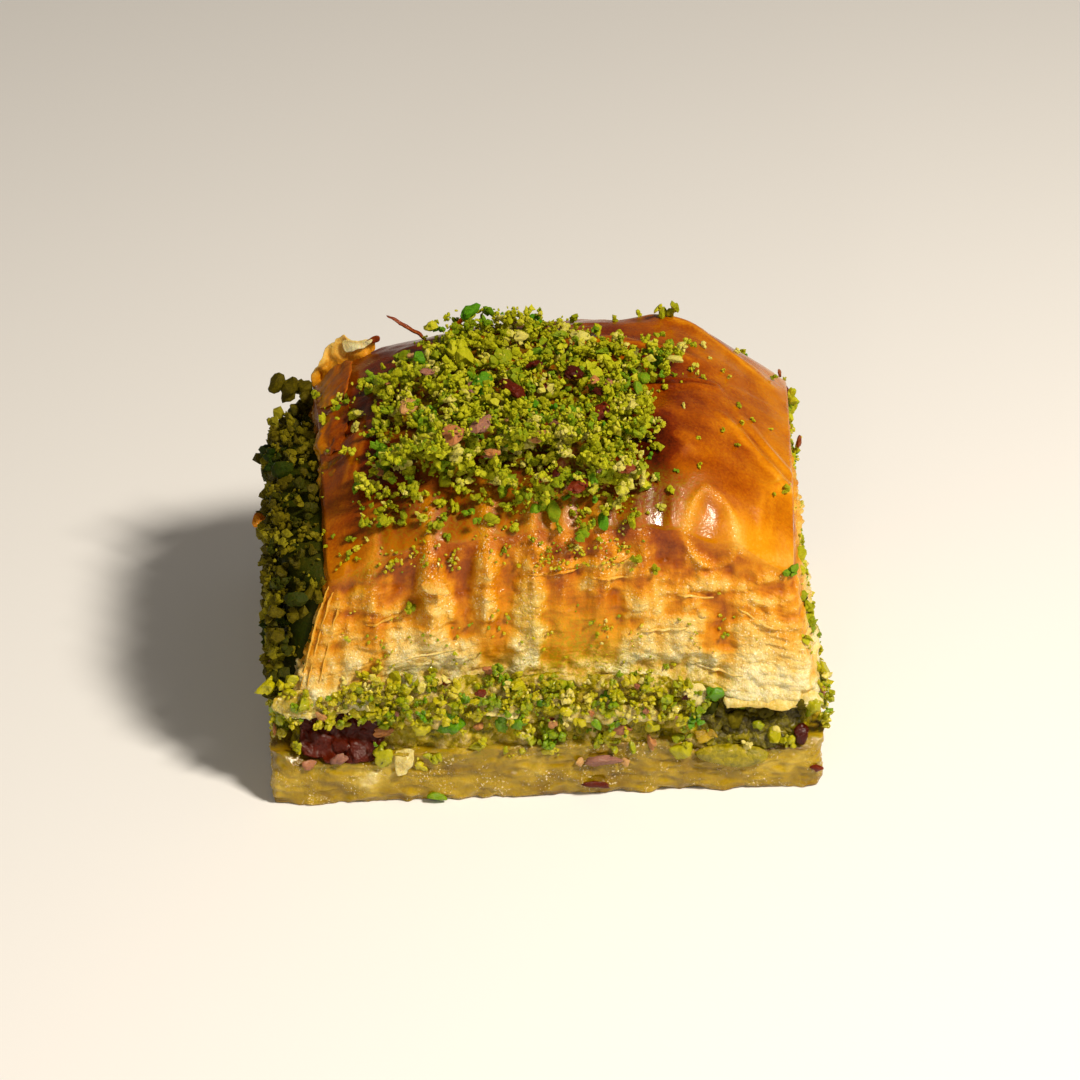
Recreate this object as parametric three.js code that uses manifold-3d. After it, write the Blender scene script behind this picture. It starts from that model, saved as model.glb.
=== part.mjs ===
// One cut of pistachio baklava, in millimetres, +Z up, standing on its base with the front cut facing -Y.
//
// A soaked stack of thin pastry sheets lies under a layer of chopped nuts. Over the nuts rises a puffed stack
// with a browned, domed crust. Ground nuts are heaped on the crust, packed against the left side, and spill
// down over the front cut. Every layer runs right through the piece.

import * as THREE from "three";
import { mergeVertices } from "three/addons/utils/BufferGeometryUtils.js";
import Module from "manifold-3d";

const wasm = await Module();
wasm.setup();

// ---- Driving dimensions ----
const FOOT_HALF_X = 22.9; // half the width of the cut at the tray
const FOOT_HALF_Y = 18.9; // half its depth
const SHEET_GAP = 0.3; // air left between one layer and the next
const LOWER_TOP = 4.9; // top of the soaked lower stack
const UPPER_UNDERSIDE = 9.4; // underside of the puffed upper stack
const CORNER_POWER = 40; // how square the cut corners are: 2 is round, 40 is sharp
const FINENESS = 0.06; // detail below this is left out of the solids

// Corners of the crust's rim, [x, y], narrower than the foot because the dry sheets shrink as they bake.
const RIM = {
  frontLeft: [-18.3, -15.9],
  frontRight: [20.1, -16.4],
  backRight: [22.8, 16.4],
  backLeft: [-19.4, 16.9],
};

// Height of the crust along X over the middle of the piece, as [x, z].
const CREST = [
  [-22, 21.2],
  [-18, 24.6],
  [-14, 26.9],
  [-7, 28.6],
  [4, 29.5],
  [13, 29.1],
  [18.5, 26.0],
  [24, 21.9],
];

// How far the crust falls below that crest towards the front and the back, as [y, fall].
const FALL = [
  [-19, 9.6],
  [-16, 5.7],
  [-12, 2.7],
  [-7, 1.0],
  [0, 0.2],
  [6, 0],
  [12, 0.9],
  [16, 3.3],
  [19, 7.0],
];

// Soft folds in the crust: a rounded ridge from one [x, y] to another.
const FOLDS = [
  { from: [9.5, -4.5], to: [18.5, -10.5], height: 0.75, width: 1.5 },
  { from: [3.5, 6.5], to: [13.5, 5.2], height: 0.6, width: 1.3 },
  { from: [10.5, 12.5], to: [20.5, 6.5], height: 0.8, width: 1.7 },
  { from: [17.6, -15], to: [18.4, -4], height: 0.55, width: 1.4 },
  { from: [-16.5, -9], to: [-13.5, 3], height: 0.5, width: 1.5 },
];

// A blister in the front right of the crust: a raised ring round a shallow pool.
const BLISTER = { centre: [13.6, -14.2], radius: 2.3, width: 1.0, height: 0.9, pool: 1.0 };

// Pleats that run down over the front edge of the crust, as [x, height].
const PLEATS = [
  [-14.5, 0.5],
  [-9.3, 0.9],
  [-4.4, 0.8],
  [0.6, 1.0],
  [5.2, 0.7],
  [9.6, 0.5],
];
const PLEAT_WIDTH = 1.15;

// ---- Small tools ----
const clamp = THREE.MathUtils.clamp;
const lerp = THREE.MathUtils.lerp;
const smoothstep = THREE.MathUtils.smoothstep;
const bump = (distance, width) => Math.exp(-((distance / width) ** 2));

// Repeatable random numbers from 0 to 1.
function seeded(seed) {
  let state = seed >>> 0;
  return () => {
    state = (state + 0x6d2b79f5) >>> 0;
    let t = Math.imul(state ^ (state >>> 15), 1 | state);
    t = (t + Math.imul(t ^ (t >>> 7), 61 | t)) ^ t;
    return ((t ^ (t >>> 14)) >>> 0) / 4294967296;
  };
}

// A smooth unevenness between -1 and 1 that comes and goes over about `size` millimetres.
function ripple(x, y, z, size) {
  const k = (2 * Math.PI) / size;
  const first = Math.sin(k * (0.91 * x + 0.37 * y + 0.23 * z) + 1.3);
  const second = Math.sin(k * (0.87 * y - 0.53 * x + 0.41 * z) + 4.1);
  const third = Math.sin(1.31 * k * (0.95 * z + 0.29 * x - 0.33 * y) + 2.2);
  return (first + second + third) / 3;
}

// A smooth curve through a few [position, value] points, as a function of position.
function profile(points) {
  const last = points.length - 1;
  const slopes = points.map((_, i) => {
    const before = points[Math.max(i - 1, 0)];
    const after = points[Math.min(i + 1, last)];
    return (after[1] - before[1]) / (after[0] - before[0]);
  });
  return (position) => {
    let i = 0;
    while (i < last - 1 && position > points[i + 1][0]) i += 1;
    const span = points[i + 1][0] - points[i][0];
    const t = clamp((position - points[i][0]) / span, 0, 1);
    const s = 1 - t;
    return (
      s * s * (1 + 2 * t) * points[i][1] +
      s * s * t * span * slopes[i] +
      t * t * (3 - 2 * t) * points[i + 1][1] -
      t * t * s * span * slopes[i + 1]
    );
  };
}

// Distance from the point (x, y) to the line between two points, and how far along it the nearest place lies.
function toSegment(x, y, from, to) {
  const dx = to[0] - from[0];
  const dy = to[1] - from[1];
  const along = clamp(((x - from[0]) * dx + (y - from[1]) * dy) / (dx * dx + dy * dy), 0, 1);
  return { along, away: Math.hypot(x - from[0] - along * dx, y - from[1] - along * dy) };
}

// ---- From three.js geometry to solids and back ----
function toSolid(geometry) {
  const bare = geometry.clone();
  bare.deleteAttribute("normal");
  bare.deleteAttribute("uv");
  const merged = mergeVertices(bare, 1e-4);
  const vertProperties = new Float32Array(merged.attributes.position.array);
  const triVerts = new Uint32Array(merged.index.array);
  return new wasm.Manifold(new wasm.Mesh({ numProp: 3, vertProperties, triVerts }));
}

// Joins solids, leaves out detail too fine to matter, and drops any scrap that ends up loose.
function fuse(solids) {
  const joined = wasm.Manifold.union(solids).asOriginal().simplify(FINENESS);
  return joined.decompose().reduce((best, piece) => (piece.volume() > best.volume() ? piece : best));
}

function toMesh(name, solid, color, roughness) {
  const { numProp, numVert, vertProperties, triVerts } = solid.getMesh();
  const position = new Float32Array(numVert * 3);
  for (let i = 0; i < numVert; i++) {
    position.set(vertProperties.subarray(i * numProp, i * numProp + 3), i * 3);
  }
  const geometry = new THREE.BufferGeometry();
  geometry.setAttribute("position", new THREE.BufferAttribute(position, 3));
  geometry.setIndex(new THREE.BufferAttribute(triVerts, 1));
  geometry.computeVertexNormals();
  const material = new THREE.MeshStandardMaterial({ color, roughness, metalness: 0 });
  const mesh = new THREE.Mesh(geometry, material);
  mesh.name = name;
  return mesh;
}

// A cube of `segments` faces, each corner moved to where `place(u, v, w)` puts it. u, v and w run from -1 to 1.
function shapedBlock(segments, place) {
  const block = new THREE.BoxGeometry(2, 2, 2, ...segments);
  const corners = block.attributes.position;
  const from = new THREE.Vector3();
  for (let i = 0; i < corners.count; i++) {
    from.fromBufferAttribute(corners, i);
    corners.setXYZ(i, ...place(from.x, from.y, from.z));
  }
  return toSolid(block);
}

// Pulls the corners of a square in, so that its outline is a rounded one.
function rounded(u, v, power) {
  const reach = Math.max(Math.abs(u), Math.abs(v));
  if (reach === 0) return [0, 0];
  const norm = (Math.abs(u) ** power + Math.abs(v) ** power) ** (1 / power);
  return [(u * reach) / norm, (v * reach) / norm];
}

// The direction straight out of the cut's outline at (a, b), from -1 to 1 across the piece.
function outwards(a, b) {
  const x = Math.sign(a) * Math.abs(a) ** (CORNER_POWER - 1);
  const y = Math.sign(b) * Math.abs(b) ** (CORNER_POWER - 1);
  const length = Math.hypot(x, y) || 1;
  return [x / length, y / length];
}

// ---- The surfaces that the layers share ----
const crestHeight = profile(CREST);
const crustFall = profile(FALL);

// The cut's outline at the rim of the crust, for a and b from -1 to 1.
function rimPoint(a, b) {
  const s = (a + 1) / 2;
  const t = (b + 1) / 2;
  return [0, 1].map((axis) =>
    lerp(
      lerp(RIM.frontLeft[axis], RIM.frontRight[axis], s),
      lerp(RIM.backLeft[axis], RIM.backRight[axis], s),
      t,
    ),
  );
}

// Folds, blister and pleats of the crust above its plain dome.
function crustRelief(x, y) {
  let relief = 0.16 * ripple(x, y, 0, 7.5);
  for (const { from, to, height, width } of FOLDS) {
    const { along, away } = toSegment(x, y, from, to);
    relief += height * bump(away, width) * Math.sin(Math.PI * clamp(0.15 + 0.7 * along, 0, 1));
  }
  const out = Math.hypot(x - BLISTER.centre[0], y - BLISTER.centre[1]);
  relief += BLISTER.height * bump(out - BLISTER.radius, BLISTER.width);
  relief -= BLISTER.pool * bump(out, BLISTER.radius * 0.7);
  const nearFront = smoothstep(-y, 9, 15);
  for (const [at, height] of PLEATS) relief += 0.6 * height * nearFront * bump(x - at, PLEAT_WIDTH);
  return relief;
}

const crustHeight = (x, y) => crestHeight(x) - crustFall(y) + crustRelief(x, y);

// The soaked lower stack is pressed into shallow hollows by the nuts on it.
const lowerTop = (x, y) => LOWER_TOP + 0.15 * ripple(x, y, 0, 11);

// The underside of the upper stack droops where its front corners curl over the nuts.
function upperUnderside(x, y) {
  const front = smoothstep(-y, 12, FOOT_HALF_Y);
  const corner = smoothstep(Math.abs(x), 11, 20);
  return UPPER_UNDERSIDE - 1.5 * front * corner + 0.15 * ripple(x, y, 3, 13);
}

// ---- Lower stack ----
const LOWER_SHEETS = 4; // ledges that show on its sides
const LOWER_LEDGE = 0.22;

function lowerStack() {
  const place = (u, v, w) => {
    const [a, b] = rounded(u, v, CORNER_POWER);
    const height = (w + 1) / 2;
    const x = a * FOOT_HALF_X;
    const y = b * FOOT_HALF_Y;
    const row = Math.round(height * 2 * LOWER_SHEETS);
    const edge = row % 2 ? LOWER_LEDGE : -LOWER_LEDGE;
    const ragged = 0.25 * ripple(x, y, row * 3.1, 8);
    const onSide = Math.max(Math.abs(u), Math.abs(v)) === 1;
    const [outX, outY] = onSide ? outwards(a, b) : [0, 0];
    return [x + (edge + ragged) * outX, y + (edge + ragged) * outY, height * lowerTop(x, y)];
  };
  return fuse([shapedBlock([16, 13, 2 * LOWER_SHEETS], place)]);
}

// ---- Upper stack ----
const UPPER_ROWS = 12; // two to each ledge that shows on its sides
const UPPER_LEDGE = 0.3;
const FRONT_SETBACK = 0.9; // how far its foot stands back behind the nuts that spill over it
const UPPER_FOOT = { left: -22.2, right: 22.6 }; // where its side walls start, set in from the foot of the piece
const SPILL_HALF_X = 13; // half the width of that spill
const SPILL_CENTRE_X = 0.2;
const LEAN = 0.9; // below 1 the walls lean in more near the foot than near the rim

// A point on the wall of the upper stack. a and b give the place on the outline, rise runs from foot to rim.
function upperWall(a, b, rise) {
  const rim = rimPoint(a, b);
  const lean = rise ** LEAN;
  const footX = lerp(UPPER_FOOT.left, UPPER_FOOT.right, (a + 1) / 2);
  let x = lerp(footX, rim[0], lean);
  let y = lerp(b * FOOT_HALF_Y, rim[1], lean);
  const foot = upperUnderside(footX, b * FOOT_HALF_Y);
  const z = lerp(foot, crustHeight(rim[0], rim[1]), rise);
  const front = smoothstep(-b, 0.9, 1);
  const behindSpill = 1 - smoothstep(Math.abs(x - SPILL_CENTRE_X), SPILL_HALF_X, SPILL_HALF_X + 3);
  y += FRONT_SETBACK * front * behindSpill * (1 - smoothstep(rise, 0.1, 0.35));
  for (const [at, height] of PLEATS) {
    const over = smoothstep(rise, 0.25, 0.55) * (1 - smoothstep(rise, 0.9, 1));
    y -= height * front * over * bump(x - at, PLEAT_WIDTH);
  }
  return [x, y, z];
}

function upperStack() {
  const place = (u, v, w) => {
    const [a, b] = rounded(u, v, CORNER_POWER);
    const rise = (w + 1) / 2;
    if (w === 1) {
      const [x, y] = rimPoint(a, b);
      return [x, y, crustHeight(x, y)];
    }
    if (w === -1 && Math.max(Math.abs(u), Math.abs(v)) < 1) {
      const x = lerp(UPPER_FOOT.left, UPPER_FOOT.right, (a + 1) / 2);
      const y = b * FOOT_HALF_Y;
      return [x, y, upperUnderside(x, y)];
    }
    const [x, y, z] = upperWall(a, b, rise);
    const row = Math.round(rise * UPPER_ROWS);
    const crusted = 1 - 0.6 * smoothstep(rise, 0.6, 0.95);
    const edge = (row % 2 ? UPPER_LEDGE : -UPPER_LEDGE) * crusted * (0.7 + 0.5 * ripple(x, y, row * 2.3, 9));
    const [outX, outY] = outwards(a, b);
    return [x + edge * outX, y + edge * outY, z];
  };
  return shapedBlock([28, 22, UPPER_ROWS], place);
}

// A curled shred of pastry: a strip along a curve, `width` across and `thickness` through.
function shred(points, width, thickness) {
  const curve = new THREE.CatmullRomCurve3(points.map((p) => new THREE.Vector3(...p)));
  const section = new THREE.Shape();
  section.moveTo(-thickness / 2, -width / 2);
  section.lineTo(thickness / 2, -width / 2);
  section.lineTo(thickness / 2, width / 2);
  section.lineTo(-thickness / 2, width / 2);
  section.closePath();
  const strip = new THREE.ExtrudeGeometry(section, {
    steps: 2 * points.length,
    extrudePath: curve,
    bevelEnabled: false,
  });
  return toSolid(strip);
}

// ---- Crumbs ----
// One crumb of nut: a chip with its eight corners knocked out of true, turned at random and, where a floor is
// given, lifted until it lies on it.
function crumb(random, centre, radius, floor = () => -Infinity) {
  const chip = new THREE.BoxGeometry(1.5, 1.25, 1.05);
  chip.deleteAttribute("normal");
  chip.deleteAttribute("uv");
  const stone = mergeVertices(chip, 1e-4);
  const corners = stone.attributes.position;
  for (let i = 0; i < corners.count; i++) {
    const swell = radius * (0.7 + 0.6 * random());
    corners.setXYZ(i, corners.getX(i) * swell, corners.getY(i) * swell, corners.getZ(i) * swell);
  }
  stone.rotateX(random() * Math.PI);
  stone.rotateZ(random() * Math.PI * 2);
  stone.translate(...centre);
  let lift = 0;
  for (let i = 0; i < corners.count; i++) {
    lift = Math.max(lift, floor(corners.getX(i), corners.getY(i)) - corners.getZ(i));
  }
  stone.translate(0, 0, lift);
  return toSolid(stone);
}

const GOLDEN_ANGLE = Math.PI * (3 - Math.sqrt(5));
const GOLDEN_SHARE = (Math.sqrt(5) - 1) / 2;

// ---- Ground nuts heaped on the crust ----
const HEAP = { centre: [-2.2, -1.8], depth: 1.1, edgeDepth: 0.35, crumbs: 126, crumbRadius: 1.0 };

// The ragged edge of the heap, as [x, y], anticlockwise from its right-hand tongue.
const HEAP_EDGE = [
  [12.6, 1.6],
  [9.2, 5.0],
  [5.8, 8.8],
  [1.5, 10.6],
  [-4.5, 11.4],
  [-8.4, 10.4],
  [-11.0, 7.6],
  [-16.0, 6.0],
  [-16.3, 1.4],
  [-14.8, -2.8],
  [-13.8, -6.8],
  [-12.6, -12.0],
  [-9.2, -14.6],
  [-4.4, -15.2],
  [0.6, -17.0],
  [4.4, -16.6],
  [8.3, -14.8],
  [8.9, -10.4],
  [9.6, -5.2],
  [12.2, -2.4],
];

// How far out of the heap's centre its edge lies in a direction, in millimetres.
const heapReach = (() => {
  const [cx, cy] = HEAP.centre;
  const polar = HEAP_EDGE.map(([x, y]) => [Math.atan2(y - cy, x - cx), Math.hypot(x - cx, y - cy)]);
  polar.sort((one, other) => one[0] - other[0]);
  const [first, last] = [polar[0], polar[polar.length - 1]];
  const round = [
    [last[0] - 2 * Math.PI, last[1]],
    ...polar,
    [first[0] + 2 * Math.PI, first[1]],
  ];
  const reach = profile(round);
  return (angle) => reach(Math.atan2(Math.sin(angle), Math.cos(angle)));
})();

function onHeap(share, angle) {
  const reach = share * heapReach(angle);
  return [HEAP.centre[0] + reach * Math.cos(angle), HEAP.centre[1] + reach * Math.sin(angle)];
}

// The heap's underside clears the highest crust close by, so that its flat faces clear the folds too.
function heapFloor(x, y) {
  const near = [-0.9, 0, 0.9];
  return SHEET_GAP + Math.max(...near.flatMap((dx) => near.map((dy) => crustHeight(x + dx, y + dy))));
}

const heapDepth = (share, x, y) =>
  HEAP.edgeDepth + HEAP.depth * (1 - share ** 2) * (0.85 + 0.35 * ripple(x, y, 0, 6));

function nutHeap() {
  const place = (u, v, w) => {
    const [a, b] = rounded(u, v, 2);
    const share = Math.hypot(a, b);
    const [x, y] = onHeap(share, Math.atan2(b, a));
    const up = (w + 1) / 2;
    return [x, y, heapFloor(x, y) + up * heapDepth(share, x, y)];
  };
  const core = shapedBlock([12, 12, 1], place);
  const random = seeded(44);
  const crumbs = [];
  for (let i = 0; i < HEAP.crumbs; i++) {
    const share = Math.sqrt((i + 0.5) / HEAP.crumbs) * 1.02;
    const angle = i * GOLDEN_ANGLE + 0.3 * random();
    const [x, y] = onHeap(share, angle);
    const radius = HEAP.crumbRadius * (0.7 + 0.75 * random() ** 2);
    const z = heapFloor(x, y) + heapDepth(Math.min(share, 1), x, y) + 0.15 * radius;
    crumbs.push(crumb(random, [x, y, z], radius, heapFloor));
  }
  return fuse([core, ...crumbs]);
}

// ---- Ground nuts packed against the left side ----
const COAT = { outerX: -23.5, leastDepth: 0.45, crumbs: 44, crumbRadius: 0.95, from: -0.93, to: 0.93, foot: 0.06, top: 0.93 };

// A pastry flake caught in the coat.
const STUCK_FLAKE = [
  [-22.6, -4.8, 18.3],
  [-23.8, -5.0, 19.1],
  [-24.5, -5.2, 19.1],
];

// A point in the left coat: b runs from front to back, rise up the wall, and share out through the coat.
function inCoat(b, rise, share) {
  const [x, y, z] = upperWall(-1, b, rise);
  const inner = x - UPPER_LEDGE * 1.3 - SHEET_GAP - 0.1;
  const outer = Math.min(COAT.outerX + 0.45 * ripple(3, b * 18, rise * 12, 7), inner - COAT.leastDepth);
  return [lerp(inner, outer, share), y, z];
}

function leftCoat() {
  const place = (u, v, w) => {
    const b = lerp(COAT.from, COAT.to, (v + 1) / 2);
    const rise = lerp(COAT.foot, COAT.top, (w + 1) / 2);
    const edge = 1 - 0.55 * Math.max(Math.abs(v), Math.abs(w)) ** 6;
    return inCoat(b, rise, ((1 - u) / 2) * edge);
  };
  const core = shapedBlock([1, 14, 6], place);
  const random = seeded(83);
  const columns = 11;
  const crumbs = [];
  for (let i = 0; i < COAT.crumbs; i++) {
    const column = (i % columns) + 0.5 + 0.5 * (random() - 0.5);
    const row = Math.floor(i / columns) + 0.5 + 0.6 * (random() - 0.5);
    const b = lerp(COAT.from + 0.04, COAT.to - 0.04, column / columns);
    const rise = lerp(COAT.foot + 0.1, COAT.top - 0.07, (row * columns) / COAT.crumbs);
    const radius = COAT.crumbRadius * (0.75 + 0.6 * random());
    const [x, y, z] = inCoat(b, rise, 1);
    const [wall] = inCoat(b, rise, 0);
    crumbs.push(crumb(random, [Math.min(x + 0.55, wall - radius * 0.8), y, z], radius));
  }
  const stuckFlake = shred(STUCK_FLAKE, 1.1, 0.35);
  return fuse([core, ...crumbs, stuckFlake]);
}

// ---- Chopped nuts between the stacks ----
const FILLING = { inset: 0.5, crumbRadius: 1.15, perimeterCrumbs: 52 };
const SPILL = { back: -18.75, thickness: 1.15, foot: 6.2, top: 11.4, crumbs: 30 };

function nutFilling() {
  const layer = shapedBlock([16, 13, 2], (u, v, w) => {
    const [a, b] = rounded(u, v, CORNER_POWER);
    const onSide = Math.max(Math.abs(u), Math.abs(v)) === 1;
    const x0 = a * (FOOT_HALF_X - FILLING.inset);
    const y0 = b * (FOOT_HALF_Y - FILLING.inset);
    const bulge = onSide ? 0.35 * ripple(x0, y0, w * 2, 5) : 0;
    const spilling = 1 - smoothstep(Math.abs(x0 - SPILL_CENTRE_X), SPILL_HALF_X - 2, SPILL_HALF_X + 1);
    const forward = onSide && b < -0.95 ? spilling * 0.9 - (1 - spilling) * 0.9 : 0;
    const x = x0 * (1 + bulge / FOOT_HALF_X);
    const y = y0 * (1 + bulge / FOOT_HALF_Y) - forward;
    const floor = lowerTop(x, y) + SHEET_GAP;
    const ceiling = upperUnderside(x, y) - SHEET_GAP;
    return [x, y, lerp(floor, ceiling, (w + 1) / 2)];
  });
  const spill = shapedBlock([14, 1, 4], (u, v, w) => {
    const x = SPILL_CENTRE_X + u * SPILL_HALF_X;
    const thin = 1 - 0.6 * Math.abs(u) ** 4;
    const depth = SPILL.thickness * thin * (1 + 0.25 * ripple(x, 0, w * 3, 5));
    const top = SPILL.top - 1.4 * Math.abs(u) ** 3 + 0.5 * ripple(x, 0, 0, 7);
    return [x, SPILL.back - ((1 - v) / 2) * depth, lerp(SPILL.foot, top, (w + 1) / 2)];
  });
  const random = seeded(127);
  const crumbs = [];
  for (let i = 0; i < FILLING.perimeterCrumbs; i++) {
    const turn = ((i + 0.4 * random()) / FILLING.perimeterCrumbs) * 2 * Math.PI;
    const [a, b] = rounded(...squareAt(turn), CORNER_POWER);
    const radius = FILLING.crumbRadius * (0.75 + 0.35 * random());
    const out = 1 - (0.8 + 0.4 * random()) / FOOT_HALF_Y;
    const x = a * FOOT_HALF_X * out;
    const y = b * FOOT_HALF_Y * out;
    const floor = lowerTop(x, y) + SHEET_GAP + radius * 1.35;
    const ceiling = upperUnderside(x, y) - SHEET_GAP - radius * 1.35;
    crumbs.push(crumb(random, [x, y, lerp(floor, ceiling, random())], radius));
  }
  for (let i = 0; i < SPILL.crumbs; i++) {
    const x = SPILL_CENTRE_X + lerp(-0.94, 0.94, (i + 0.5) / SPILL.crumbs) * SPILL_HALF_X;
    const radius = FILLING.crumbRadius * (0.6 + 0.5 * random());
    const z = lerp(SPILL.foot - 0.4, SPILL.top - 1.2, (i * GOLDEN_SHARE) % 1);
    crumbs.push(crumb(random, [x, SPILL.back - SPILL.thickness - 0.1, z], radius * 0.85));
  }
  return fuse([layer, spill, ...crumbs]);
}

// The place on a square's edge, from -1 to 1, that lies in a direction.
function squareAt(angle) {
  const c = Math.cos(angle);
  const s = Math.sin(angle);
  const reach = Math.max(Math.abs(c), Math.abs(s));
  return [c / reach, s / reach];
}

// ---- Flakes and single crumbs that cling to the upper stack ----
const WISPS = [
  [
    [-8.8, 11.9, 26.4],
    [-10.5, 12.0, 28.1],
    [-12.6, 12.0, 29.3],
  ],
  [
    [-8.2, 13.9, 25.4],
    [-7.3, 13.7, 26.9],
    [-6.1, 13.6, 28.6],
  ],
];
const WISP = { width: 0.7, thickness: 0.4 };

// A sheet that stands up at the back left corner, as [x, y, foot z, top z] from its left tip to its right.
const CURLED_SHEET = [
  [-19.7, 13.2, 20.6, 23.2],
  [-17.6, 14.4, 22.0, 25.9],
  [-16.1, 14.0, 22.6, 26.4],
  [-13.5, 14.3, 24.2, 26.5],
];
const CURLED_SHEET_THICKNESS = 0.45;

function curledSheet() {
  return shapedBlock([CURLED_SHEET.length - 1, 1, 1], (u, v, w) => {
    const column = Math.round(((u + 1) / 2) * (CURLED_SHEET.length - 1));
    const [x, y, foot, top] = CURLED_SHEET[column];
    return [x, y + (v * CURLED_SHEET_THICKNESS) / 2, w < 0 ? foot : top];
  });
}

function clinging() {
  const wisps = WISPS.map((path) => shred(path, WISP.width, WISP.thickness));
  const random = seeded(211);
  const loose = [
    [11.6, 11.2, 0.9],
    [17.8, 9.5, 0.8],
    [14.4, 6.4, 0.9],
    [16.4, 2.6, 0.6],
    [20.9, 8.2, 0.7],
    [12.8, -8.8, 0.6],
    [-16.7, -5.5, 0.8],
    [-15.6, -11.2, 0.9],
    [-16.4, -14.0, 0.8],
  ].map(([x, y, radius]) => crumb(random, [x, y, crustHeight(x, y) + 0.2 * radius], radius));
  const rightSide = [];
  const sideCrumbs = 26;
  for (let i = 0; i < sideCrumbs; i++) {
    const b = lerp(-0.9, 0.9, (i * GOLDEN_SHARE) % 1);
    const [x, y, z] = upperWall(1, b, lerp(0.12, 0.8, i / (sideCrumbs - 1)));
    rightSide.push(crumb(random, [x - 0.1, y, z], 0.6 + 0.45 * random()));
  }
  return [curledSheet(), ...wisps, ...loose, ...rightSide];
}

// ---- The piece ----
const baklava = new THREE.Group();
baklava.add(
  toMesh("lower_sheets", lowerStack(), 0xcfa94e, 0.35),
  toMesh("nut_filling", nutFilling(), 0x8f9a22, 0.6),
  toMesh("upper_sheets", fuse([upperStack(), ...clinging()]), 0xc87a1c, 0.28),
  toMesh("ground_nuts_top", nutHeap(), 0x93a51b, 0.75),
  toMesh("ground_nuts_left", leftCoat(), 0x5c6614, 0.8),
);

// Stands the piece with the middle of its base on the origin.
const extent = new THREE.Box3().setFromObject(baklava, true);
const middle = extent.getCenter(new THREE.Vector3());
baklava.position.set(-middle.x, -middle.y, -extent.min.z);

export default baklava;
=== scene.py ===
"""The looks of one cut of pistachio baklava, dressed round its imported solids.

Forms are worked out in millimetres on the cut's own axes: +X along the front cut, +Y to the back, +Z up,
with the middle of the tray side at zero. `Bench` turns them into metres in the shared frame.
"""

import logging
import math
from collections.abc import Callable, Iterator, Sequence
from contextlib import contextmanager
from dataclasses import dataclass, field
from enum import Enum

import bpy
import numpy as np
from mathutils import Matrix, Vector
from mathutils.bvhtree import BVHTree

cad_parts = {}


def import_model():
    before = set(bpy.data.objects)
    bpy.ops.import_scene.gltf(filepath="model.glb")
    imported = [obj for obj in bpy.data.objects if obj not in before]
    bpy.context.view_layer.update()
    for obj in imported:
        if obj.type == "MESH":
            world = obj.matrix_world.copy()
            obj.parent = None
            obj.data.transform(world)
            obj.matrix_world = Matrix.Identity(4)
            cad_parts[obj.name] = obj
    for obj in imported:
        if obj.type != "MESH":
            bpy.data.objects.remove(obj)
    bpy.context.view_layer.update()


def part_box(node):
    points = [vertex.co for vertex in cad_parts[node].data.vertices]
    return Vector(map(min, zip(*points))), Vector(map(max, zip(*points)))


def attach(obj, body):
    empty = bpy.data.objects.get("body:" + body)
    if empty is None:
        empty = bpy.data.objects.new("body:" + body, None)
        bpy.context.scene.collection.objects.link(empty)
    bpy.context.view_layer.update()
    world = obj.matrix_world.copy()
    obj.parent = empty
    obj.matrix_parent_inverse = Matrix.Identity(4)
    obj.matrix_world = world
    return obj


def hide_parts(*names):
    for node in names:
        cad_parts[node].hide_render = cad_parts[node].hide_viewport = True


MM = 0.001
FAR = 99.0
BODY = "root"
log = logging.getLogger("baklava")

Array = np.ndarray
Material = bpy.types.Material
NodeTree = bpy.types.NodeTree
Piece = bpy.types.Object
Point = tuple[float, float]


# ---- Small tools


def each(kind: type, *rows: Sequence[object]) -> tuple:
    """One of a kind for each row of its values."""
    return tuple(kind(*row) for row in rows)


def smoothstep(value: Array, low: float, high: float) -> Array:
    """A soft step from 0 at `low` to 1 at `high`."""
    t = np.clip((value - low) / (high - low), 0.0, 1.0)
    return t * t * (3 - 2 * t)


def bump(distance: Array, width: float) -> Array:
    """A rounded bump, 1 in its middle and gone about two widths away."""
    return np.exp(-((distance / width) ** 2))


def blend(low: Array, high: Array, share: Array) -> Array:
    """The value a `share` of the way from `low` to `high`."""
    return low + (high - low) * share


def window(value: Array, low: float, high: float, soft: float) -> Array:
    """1 between `low` and `high`, fading to 0 over `soft` outside them."""
    return smoothstep(value, low - soft, low + soft) * (1 - smoothstep(value, high - soft, high + soft))


def hashed(cell: Array, seed: int) -> Array:
    """Repeatable 24-bit whole numbers for whole-number cells.

    Args:
        cell: Cells, shape (n, 3).
        seed: Which pattern to take.

    Returns:
        One number from 0 to 16777215 for each cell.
    """
    mixed = (cell[:, 0] * 73856093) ^ (cell[:, 1] * 19349663) ^ (cell[:, 2] * 83492791) ^ (seed * 97531)
    mixed = ((mixed & 0xFFFFFFFF) * 2246822519) & 0xFFFFFFFF
    mixed = ((mixed ^ (mixed >> 15)) * 3266489917) & 0xFFFFFFFF
    mixed = ((mixed ^ (mixed >> 13)) * 668265263) & 0xFFFFFFFF
    return (mixed ^ (mixed >> 16)) & 0xFFFFFF


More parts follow.
